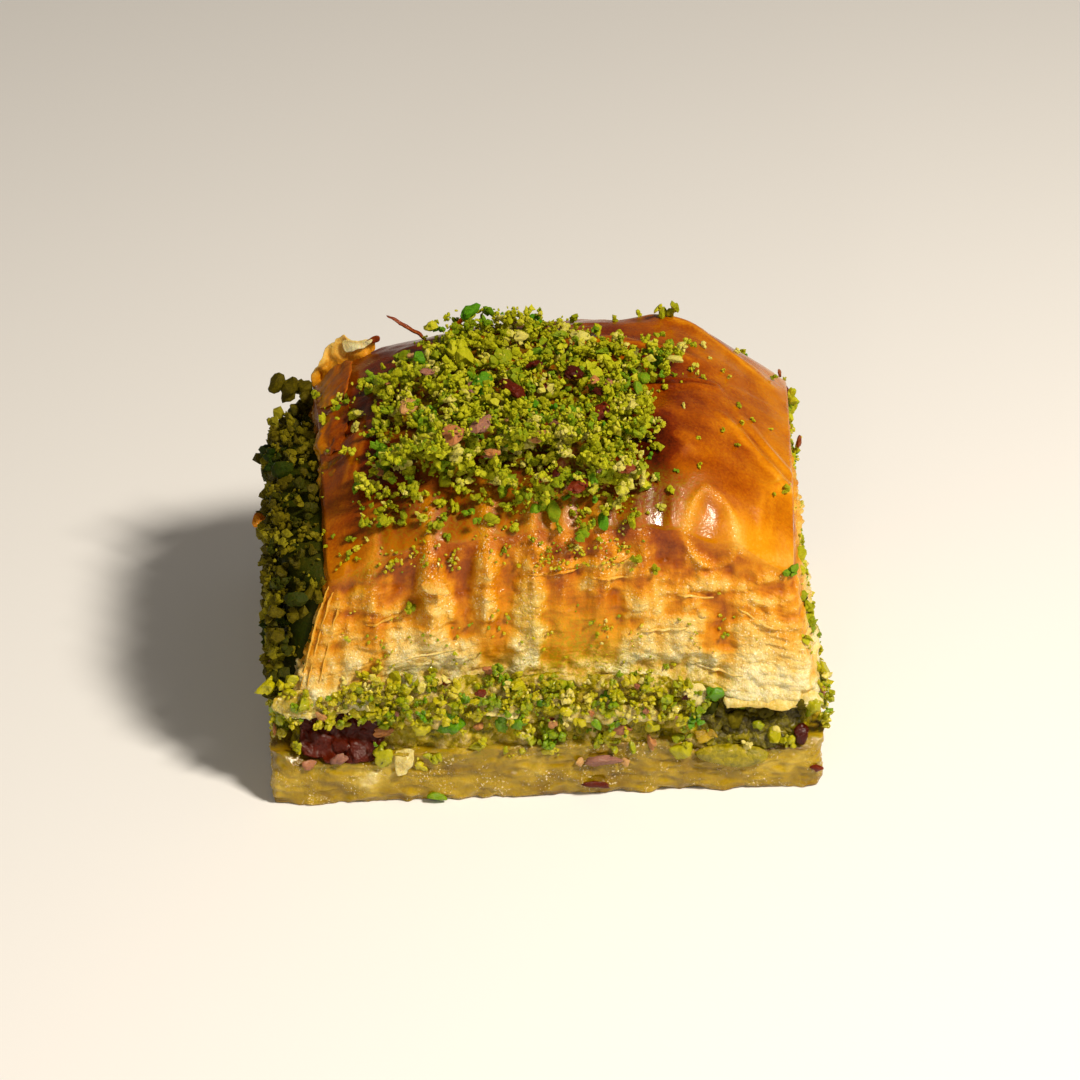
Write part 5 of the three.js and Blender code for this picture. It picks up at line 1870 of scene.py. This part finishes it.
@dataclass
class Filling:
    """Chopped nuts between the stacks, which spill down over the front of the upper stack's foot."""

    bench: Bench
    cut: Cut
    inset: float = 1.0
    hollows: tuple[Patch, ...] = (Patch(-21.8, -15.0, 4.6, 9.0, 1.5), Patch(12.0, 22.2, 5.0, 8.8, 1.2))
    spill_foot: float = 5.4
    spill_top: float = 11.3
    spill_left: float = -17.6
    spill_right: float = 13.0
    spill_depth: float = 0.5
    gap: Point = (5.0, 9.2)
    front_out: float = 20.7
    round_out: float = 0.75
    nuts: tuple[Bit, ...] = each(
        Bit, (-8.4, 7.3, 3.0, 2.1, 1.6, 0.03, 0.2, 0.5), (-10.9, 7.2, 2.2, 1.4, 1.2, 0.74, -0.2, 0.4),
        (-14.1, 4.5, 1.9, 2.0, 1.2, 0.55, 0.4, 0.4), (-11.0, 3.4, 1.3, 1.0, 0.9, 0.82, -0.3, 0.2),
        (-21.8, 6.9, 1.1, 1.0, 0.8, 0.5, 0.0, 0.5), (-21.3, 5.2, 0.9, 1.2, 0.8, 0.6, 0.3, 0.3),
        (-17.5, 6.9, 1.7, 0.9, 0.7, 0.55, 0.1, 0.5), (-3.8, 10.6, 1.3, 1.1, 1.0, 0.04, 0.0),
        (-2.9, 7.6, 1.7, 1.2, 1.0, 0.1, 0.0, 0.4), (-6.2, 5.2, 1.5, 1.1, 0.9, 0.55, 0.5, 0.3),
        (-0.4, 4.4, 1.4, 0.9, 0.8, 0.8, -0.4, 0.1), (10.9, 4.2, 2.3, 1.9, 1.2, 0.6, 0.25, 0.4),
        (13.4, 9.9, 1.7, 1.5, 1.1, 0.0, 0.0, 0.7), (8.3, 6.8, 1.5, 1.3, 1.0, 0.62, -0.5, 0.4),
        (3.7, 7.3, 1.0, 1.5, 0.8, 0.2, 0.5, 0.4), (-9.6, 0.45, 1.9, 0.9, 0.9, 0.22, 0.0, 0.4),
        (21.9, 7.9, 1.7, 1.6, 1.3, 0.5, 0.0, 0.5), (18.8, 5.2, 1.3, 1.2, 0.9, 0.98, 0.3, 0.4),
        (16.0, 7.6, 1.4, 1.1, 0.8, 0.3, 0.3, 0.2), (17.4, 5.9, 1.2, 1.0, 0.8, 0.4, -0.3, 0.3),
    )
    # These nuts take the darkened finish as painted shade.
    shaded: tuple[Bit, ...] = each(  # dark nuts deep in the hollow on the right
        Bit, (13.2, 7.4, 2.2, 2.0, 1.4, 0.3, 0.5, 0.0), (15.4, 6.3, 1.8, 1.6, 1.2, 0.7, -0.1, 0.2),
        (18.0, 7.4, 1.8, 1.6, 1.2, 0.5, 0.3, 0.1), (21.0, 7.9, 1.4, 1.2, 1.2, 0.6, 0.0, 0.2),
    )
    slices: tuple[Bit, ...] = (Bit(15.2, 3.5, 6.6, 2.2, 1.6, 0.46, -0.08, 0.6),)
    skins: tuple[Bit, ...] = each(
        Bit, (-17.8, 4.3, 2.0, 1.2, 0.9, 0.6, 0.2, 0.4), (-20.4, 3.9, 1.4, 0.9, 0.8, 0.7, -0.2, 0.3),
        (-14.1, 6.3, 2.0, 1.0, 0.8, 0.82, 0.1, 0.4), (4.2, 3.5, 3.4, 1.2, 1.0, 0.6, 0.15, 0.4),
        (2.3, 3.3, 0.9, 0.8, 0.7, 0.95, 0.0, 0.4), (6.1, 3.2, 0.9, 0.8, 0.7, 0.95, 0.0, 0.4),
        (8.3, 5.0, 1.0, 1.7, 0.8, 0.85, 0.3, 0.3), (20.8, 4.9, 1.7, 2.0, 1.2, 0.0, 0.1, 0.5),
        (5.6, 6.6, 2.2, 1.2, 0.9, 0.72, -0.1, 0.1), (22.3, 1.9, 1.2, 0.9, 0.8, 0.2, 0.2, 0.4),
        (3.6, 1.2, 2.6, 0.85, 0.7, 0.1, -0.24, 0.35), (-6.1, 6.9, 1.0, 0.8, 0.6, 0.85, 0.4, 0.4),
        (-8.8, 11.2, 0.8, 0.8, 0.7, 0.3, 0.0, 0.4), (-5.1, 11.9, 1.4, 0.8, 0.7, 0.75, 0.0, 0.3),
    )
    husk: Sheet = Sheet(
        "hollow_husk", (0.02, 0.08), 0.2, 0.5, 0.5, 0.0,
        (((-21.2, -17.2, 8.7), (-19.6, -16.9, 8.9), (-18.0, -17.1, 8.7), (-16.4, -16.9, 8.8),
          (-14.2, -17.4, 8.5)),
         ((-21.3, -18.0, 7.2), (-19.4, -17.2, 7.3), (-17.8, -18.1, 6.9), (-16.2, -17.5, 7.2),
          (-14.0, -18.2, 7.1)),
         ((-21.0, -18.6, 5.6), (-19.2, -18.7, 5.2), (-17.6, -18.2, 5.6), (-16.0, -18.9, 5.2),
          (-14.2, -18.6, 5.6)),
         ((-20.6, -19.2, 4.4), (-19.0, -19.5, 3.9), (-17.6, -19.4, 3.9), (-16.0, -19.7, 4.0),
          (-14.6, -19.3, 4.3))),
    )
    # Nut paste in the right hollow, painted dark as the hollow's shade.
    shaded_paste: Sheet = Sheet(
        "hollow_paste_painted_shade", (0.1, 0.2), 0.2, 0.5, 0.5, 0.0,
        (((11.9, -17.2, 8.8), (14.0, -16.9, 8.7), (16.2, -17.1, 8.6), (18.4, -16.9, 8.6),
          (20.8, -17.2, 8.4)),
         ((11.7, -18.1, 7.2), (13.9, -17.4, 7.1), (16.1, -17.9, 7.3), (18.3, -17.4, 7.0),
          (20.9, -18.0, 7.0)),
         ((11.8, -18.5, 5.7), (13.9, -18.4, 5.5), (16.0, -18.6, 5.7), (18.2, -18.3, 5.4),
          (20.8, -18.5, 5.5)),
         ((12.0, -19.0, 4.2), (14.0, -19.2, 4.0), (16.0, -19.1, 4.1), (18.2, -19.2, 4.0),
          (20.6, -19.0, 4.1))),
    )

    def core(self) -> Piece:
        """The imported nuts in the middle, and the bank that spills forward, in one closed piece."""
        cut = self.cut
        piece = grid_block("filling_core", 230, 110, 36, crusted=False)
        u, v, drop = corners(piece).T
        a, b = cut.rounded(u, v, cut.corner_power)
        rise = np.clip(1 + drop, 0, 1)
        x, y = a * (cut.foot_half_x - self.inset), b * (cut.foot_half_y - self.inset)
        floor, ceiling = cut.lower_surface(x, y) - 0.25, cut.underside(x, y) + 0.25
        z = blend(floor, ceiling, rise)
        outline = on_outline(u, v)
        front = smoothstep(-b, 0.93, 1)
        spill = cut.behind_spill(x) * front * outline
        top = self.spill_top - 1.2 * np.abs((x - 0.2) / cut.spill_half_x) ** 3 + 0.5 * ripple(x, 0, 0, 7)
        z = blend(z, blend(np.full_like(x, self.spill_foot), top, rise), spill * smoothstep(rise, 0.0, 0.4))
        belly = np.sin(math.pi * np.clip(0.12 + 0.9 * rise, 0, 1)) ** 0.7
        offset = spill * (0.75 + self.spill_depth * belly)
        for patch in self.hollows:
            offset -= front * outline * patch.mask(x, z, 0.8)
        spot = stack(x, y, z)
        inside, own = pebbled(spot + 0.5 * stack(*(uneven(spot, 1.4, 141 + k) for k in range(3))), 1.25, 133)
        bulge = 0.45 * uneven(spot, 2.6, 132) + 0.5 * np.sqrt(inside)
        offset += bulge - 0.3 + 0.3 * own + 0.12 * uneven(spot, 0.5, 134)
        out_x, out_y = cut.outwards(a, b)
        x, y = x + out_x * offset * outline, y + out_y * offset * outline
        self.bench.place(piece, stack(x, y, z))
        face_outwards(piece)
        # The hollows are darkened as painted shade.
        dark = 0.0
        for patch in self.hollows:
            dark = np.maximum(dark, front * patch.mask(x, z, 0.8) / patch.strength)
        # Each bit is darker towards its edges: painted shade in the cracks between bits.
        mixed = 0.28 + 0.5 * own + 0.2 * uneven(spot, 2.2, 135) + 0.2 * np.sqrt(inside)
        paint(piece, tone=np.clip(mixed * (1 - 0.9 * dark), 0, 1))
        shade(piece)
        return piece

    def linings(self, sheets: LooseSheets) -> tuple[Piece, Piece]:
        """The crumpled husk in the left hollow, and the nut paste in the right one, painted dark as its
        shade.
        """
        return sheets.drawn(self.husk), sheets.drawn(self.shaded_paste)

    def band(self, spots: Array) -> Array:
        """Lets crumbs stay between the stacks."""
        across, z = spots.T
        half = self.cut.foot_half_x if np.abs(across).max() > 20.5 else self.cut.foot_half_y
        patches = uneven(stack(across, z, 5.0), 2.4, 136)
        kept = np.clip(window(z, *self.gap, 0.4) * (0.8 + 0.5 * patches), 0, 1)
        return kept * (np.abs(across) < half - 0.4)

    def front(self, spots: Array) -> Array:
        """Lets crumbs stay on the bank over the upper stack's foot, and a few on the wet face."""
        x, z = spots.T
        patches = uneven(stack(x, z, 5.0), 2.4, 137) + 0.5 * uneven(stack(x, z, 5.0), 1.0, 138)
        top = self.spill_top - 0.9 * smoothstep(x, 8, 13) - 0.8 * smoothstep(-x, 12, 18) + 0.8 * patches
        bank = window(x, self.spill_left, self.spill_right, 1.2)
        bank = np.maximum(bank, 0.6 * window(x, -22.4, -17, 0.6)) * window(z, 7.6, 12.5, 0.7)
        bank *= 1 - smoothstep(z - top, -0.5, 0.3)
        wet_face = 0.16 * window(x, -21, 21, 1.0) * window(z, 4.2, 7.6, 0.5) * np.clip(1 + 2 * patches, 0, 2)
        hollow = np.zeros_like(x)
        for patch in (*self.hollows, Patch(11.4, 19.2, 3.0, 5.6, 1.0)):
            hollow = np.maximum(hollow, patch.mask(x, z, 0.5) / patch.strength)
        return np.clip(bank * (0.95 + 0.6 * patches) + wet_face * (1 - 0.9 * hollow), 0, 1)

    def dusting(self, spots: Array) -> Array:
        """Lets a few fine crumbs stay on the front, most of them on its pleats."""
        x, z = spots.T
        patches = uneven(stack(x, z, 5.0), 1.6, 137) + 0.5 * uneven(stack(x, z, 5.0), 0.8, 138)
        low = 0.2 * window(x, -17, 16, 2.0) * window(z, 11, 17, 1.5)
        high = window(x, -18, 8, 1.5) * window(z, 20.5, 24, 1.0)
        return np.clip((low + high) * (0.35 + 1.1 * patches), 0, 1)

    def strew_front(self, scatter: Scatter) -> None:
        """Drops the front's crumbs."""
        for row in (
            (Nut.CHIP, 22, 1.1, 0.7, 0.85), (Nut.GREEN, 8, 1.0, 0.7, 0.9),
            (Nut.GROUND, 230, 0.9, 0.5, 1.05), (Nut.PALE, 9, 0.8, 0.4), (Nut.SKIN, 12, 0.5, 0.4, 0.6),
            (Nut.GROUND, 170, 0.7, 0.4, 0.7), (Nut.FLOUR, 140, 0.3, 0.2),
        ):
            scatter.drop(self.front, self.front_out, *row)
        for row in ((Nut.GROUND, 34, 0.5, 0.4, 0.55), (Nut.FLOUR, 260, 0.3, 0.2)):
            scatter.drop(self.dusting, self.front_out, *row)

    def strew_round(self, scatter: Scatter, half: float) -> None:
        """Drops the crumbs of one of the other sides."""
        for row in (
            (Nut.CHIP, 46, 0.5, 0.6), (Nut.GREEN, 12, 0.5, 0.6), (Nut.SKIN, 14, 0.4, 0.4),
            (Nut.GROUND, 330, 0.4, 0.3), (Nut.FLOUR, 420, 0.3, 0.2), (Nut.PALE, 12, 0.4, 0.3),
        ):
            scatter.drop(self.band, half + self.round_out, *row)

    def set_bits(self, name: str, bits: Sequence[Bit], form: CrumbForm, bed: Bed) -> Piece:
        """The nut pieces that are set one by one on the front, in one piece."""
        shapes, faces = form.shapes()
        per = shapes.shape[1]
        points, tones = [], []
        for i, bit in enumerate(bits):
            height = bed.rest(np.array([bit.x, bit.z]), 0.25 * (bit.width + bit.height), 0.1)[0]
            shape = shapes[i % len(shapes)]
            shape = shape / np.abs(shape).max(0) * np.array([bit.width, bit.depth, bit.height]) / 2
            c, s = math.cos(bit.tilt), math.sin(bit.tilt)
            shape = shape @ np.array([[c, 0, -s], [0, 1, 0], [s, 0, c]]).T
            front = -(height if math.isfinite(height) else self.cut.foot_half_y) - bit.proud
            points.append(shape + np.array([bit.x, front + bit.depth / 2, bit.z]))
            tones.append(np.full(per, bit.tone))
        tris = (faces[None] + np.arange(len(bits))[:, None, None] * per).reshape(-1, 3)
        piece = mesh_piece(name, np.concatenate(points), tris)
        self.bench.place(piece, np.concatenate(points))
        paint(piece, tone=np.concatenate(tones))
        shade(piece)
        return piece


# ---- Studio


@dataclass
class Studio:
    """A plain pale floor, soft lights and the camera. Sizes in millimetres, angles in degrees."""

    middle: tuple[float, float]
    azimuth: float = -3.0
    elevation: float = 30.0
    distance: float = 330.0
    target_z: float = 13.5
    lens: float = 126.69
    floor_colour: str = "#e8ebf2"
    sky_colour: str = "#ffefd8"
    lamp_colour: str = "#fff1da"

    def build(self) -> None:
        """Sets up everything that isn't the object."""
        self.floor()
        self.sky()
        self.lamp("key_light", azimuth=48, elevation=50, distance=420, size=75, power=2.45)
        self.lamp("fill_light", azimuth=-20, elevation=35, distance=600, size=400, power=0.38)
        self.lamp("front_light", azimuth=-8, elevation=14, distance=400, size=26, power=0.14)
        self.camera()
        bpy.context.scene.view_settings.view_transform = "Standard"

    def point(self, azimuth: float, elevation: float, distance: float) -> Vector:
        """A place round the target, in metres."""
        a, e = math.radians(azimuth), math.radians(elevation)
        back = Vector((math.sin(a) * math.cos(e), -math.cos(a) * math.cos(e), math.sin(e)))
        return Vector((*self.middle, self.target_z)) * MM + back * distance * MM

    def floor(self) -> None:
        """A wide pale floor that the piece stands on."""
        bpy.ops.object.select_all(action="DESELECT")
        bpy.ops.mesh.primitive_plane_add(size=6, location=(0, 0, -0.00005))
        floor = named_primitive("floor")
        material, tree, output = blank_material("matt_white_board")
        shader = add(
            tree, "BsdfPrincipled",
            {"Base Color": linear(self.floor_colour), "Roughness": 0.7, "Specular IOR Level": 0.2},
        )
        tree.links.new(shader.outputs["BSDF"], output.inputs["Surface"])
        floor.data.materials.append(material)

    def sky(self) -> None:
        """Even light from all round."""
        world = bpy.data.worlds.new("studio")
        world.use_nodes = True
        tree = world.node_tree
        tree.nodes.clear()
        light = add(tree, "Background", {"Color": linear(self.sky_colour), "Strength": 0.14})
        output = add(tree, "OutputWorld")
        tree.links.new(light.outputs["Background"], output.inputs["Surface"])
        bpy.context.scene.world = world

    def lamp(
        self, name: str, azimuth: float, elevation: float, distance: float, size: float, power: float
    ) -> None:
        """Adds a square soft light that faces the piece."""
        bpy.ops.object.select_all(action="DESELECT")
        place = self.point(azimuth, elevation, distance)
        bpy.ops.object.light_add(type="AREA", location=place)
        lamp = bpy.context.active_object
        lamp.name = name
        facing = Vector((*self.middle, self.target_z)) * MM - place
        lamp.rotation_euler = facing.to_track_quat("-Z", "Y").to_euler()
        lamp.data.size, lamp.data.energy = size * MM, power
        lamp.data.color = linear(self.lamp_colour)[:3]

    def camera(self) -> None:
        """The camera, without depth of field."""
        place = self.point(self.azimuth, self.elevation, self.distance)
        turn = (math.radians(90 - self.elevation), 0, math.radians(self.azimuth))
        bpy.ops.object.camera_add(location=place, rotation=turn)
        camera = bpy.context.active_object
        camera.data.lens, camera.data.sensor_width = self.lens, 36.0
        camera.data.clip_start, camera.data.clip_end = 0.01, 10.0
        camera.data.dof.use_dof = False
        bpy.context.scene.camera = camera


def stocked_larder() -> Larder:
    """The finishes of every nut and husk in the cut."""
    green = ramp("#457a04 #5c8205 #788607 #8f9006 #9fa40a #aeac1e #c0b95c")
    # Darker greens for nuts that lie in shade: the darkening is painted shade.
    packed_and_shaded = ramp("#152a02 #212f02 #2f3002 #413a03 #554c03 #6a6208 #827c1a")
    husk = (
        (0.0, "#3c0a02"), (0.2, "#641d05"), (0.4, "#864a26"), (0.6, "#8a6154"),
        (0.8, "#a96c3c"), (1.0, "#b89560"),
    )
    wet_green = ramp("#4a7c04 #628a05 #7c8c08 #9a9706 #aaa30a #b8ac1c #d0c470")
    paste = ramp("#1a1601 #413801 #665e02 #857a02 #9d8e06 #b0992a #c8b26a")
    return Larder(
        NutFinish("ground_pistachio", green).material(),
        NutFinish("syrupy_pistachio", wet_green, 0.34, 0.35, depth_mm=0.7).material(),
        NutFinish("packed_pistachio_shade_darkened", packed_and_shaded, 0.6, gloss=0.1).material(),
        NutFinish(
            "syrupy_nut_paste", paste, 0.26, 0.4, grain_mm=0.35, grain_depth_mm=0.2, depth_mm=0.7, bit_mm=0.6
        ).material(),
        NutFinish("pistachio_skin", husk, 0.5, veined=0.3).material(),
        NutFinish("syrupy_pistachio_skin", husk, 0.3, 0.3, veined=0.14, gloss=0.1).material(),
    )


def main() -> None:
    """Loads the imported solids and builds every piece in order."""
    logging.basicConfig(level=logging.INFO, format="%(name)s %(message)s")
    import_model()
    low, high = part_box("lower_sheets")
    middle = tuple((low[k] + high[k]) / 2 / MM for k in (0, 1))
    bench = Bench(middle)
    cut = Cut()
    filo = FiloFinish().material()
    soaked = FiloFinish(
        "syrup_soaked_base",
        (
            (0.0, "#d6c688"), (0.15, "#bfa53f"), (0.3, "#a88b12"), (0.45, "#8f7404"),
            (0.62, "#785b01"), (0.8, "#613a00"), (1.0, "#3a1700"),
        ),
        "#7d7604", mottle_mm=1.1, edge_share=0.16, rough_dry=0.24, coat=0.5,
        coat_roughness=0.05, depth_mm=0.7, depth_share=0.25,
    ).material()
    larder = stocked_larder()

    upper = UpperStack(bench, cut)
    sheets = LooseSheets(bench, upper)
    upper_body = bench.hand_over(upper.body(), filo, "baked_pastry", ["upper_sheets"])
    edges = bench.hand_over(sheets.lips(), filo, "baked_pastry")
    flakes = bench.hand_over(sheets.flakes(), filo, "baked_pastry")
    shreds = bench.hand_over(sheets.shreds(), soaked, "baked_pastry")
    lower_body = bench.hand_over(LowerStack(bench, cut).body(), soaked, "soaked_pastry", ["lower_sheets"])

    filling = Filling(bench, cut)
    filling_core = bench.hand_over(filling.core(), larder.paste, "nut_filling", ["nut_filling"])
    husk_lining, shaded_paste_lining = filling.linings(sheets)
    bench.hand_over(husk_lining, larder.wet_skin, "nut_filling")
    bench.hand_over(shaded_paste_lining, larder.paste, "nut_filling")
    round_it = [upper_body, edges, flakes, shreds, lower_body, filling_core, husk_lining, shaded_paste_lining]
    front = Bed(Side.FRONT, (-24.2, -0.6), (24.2, 24.0), bench)
    front.cover(round_it)
    set_by_hand = [
        filling.set_bits(name, bits, nut.value, front)
        for name, bits, nut in (
            ("filling_set_nuts", filling.nuts, Nut.KERNEL),
            ("filling_set_skins", filling.skins, Nut.KERNEL),
            ("filling_shaded_nuts", filling.shaded, Nut.KERNEL),
            ("filling_slices", filling.slices, Nut.SLICE),
        )
    ]
    for piece, finish in zip(set_by_hand, (larder.wet, larder.wet_skin, larder.packed_and_shaded, larder.paste)):
        bench.hand_over(piece, finish, "nut_filling")
    front.cover(set_by_hand)
    fillings = Scatter(bench, front, 201)
    filling.strew_front(fillings)
    for side, half, seed in ((Side.RIGHT, 22.9, 202), (Side.BACK, 18.9, 203), (Side.LEFT, 22.9, 204)):
        reach = 23.4 if side is Side.BACK else 19.4
        bed = Bed(side, (-reach, 4.2), (reach, 10.2), bench)
        bed.cover([upper_body, lower_body, filling_core])
        filling.strew_round(Scatter(bench, bed, seed, fillings.crumbs), half)
    fillings.hand_over("filling", larder.wet, larder.wet_skin, "nut_filling")

    heap = NutHeap(bench, upper)
    heap_core = bench.hand_over(heap.core(), filo, "ground_nuts", ["ground_nuts_top"])
    top = Bed(Side.TOP, (-21.0, -18.5), (23.0, 17.5), bench)
    top.cover([upper_body, heap_core, flakes])
    heaped = Scatter(bench, top, 205)
    heap.strew(heaped)
    heaped.hand_over("heap", larder.dry, larder.dry_skin, "ground_nuts")

    coat = LeftCoat(bench, upper)
    coat_core = bench.hand_over(coat.core(), larder.packed_and_shaded, "packed_nuts", ["ground_nuts_left"])
    stuck = bench.hand_over(coat.flake(sheets), filo, "baked_pastry")
    left = Bed(Side.LEFT, (-20.0, 7.0), (20.0, 27.0), bench)
    left.cover([upper_body, coat_core, stuck])
    packed_on = Scatter(bench, left, 206)
    coat.strew(packed_on)
    ledge = Bed(Side.TOP, (-24.3, -19.0), (-17.6, 19.0), bench)
    ledge.cover([upper_body, coat_core])
    coat.strew_ledge(Scatter(bench, ledge, 209, packed_on.crumbs))
    packed_on.hand_over("coat", larder.packed_and_shaded, larder.dry_skin, "packed_nuts")

    stray = StrayCrumbs(upper)
    walls = (Scatter(bench, Bed(Side.RIGHT, (-19.0, 8.0), (19.0, 25.0), bench), 207),)
    walls += (Scatter(bench, Bed(Side.BACK, (-22.0, 8.0), (22.0, 25.0), bench), 208, walls[0].crumbs),)
    for scatter, share, out in zip(walls, (1.0, 0.4), (23.8, 19.9)):
        scatter.bed.cover([upper_body, edges])
        stray.strew(scatter, share, out)
    walls[0].hand_over("stray", larder.dry, larder.dry_skin, "ground_nuts")

    Studio(middle).build()


if __name__ == "__main__":
    main()
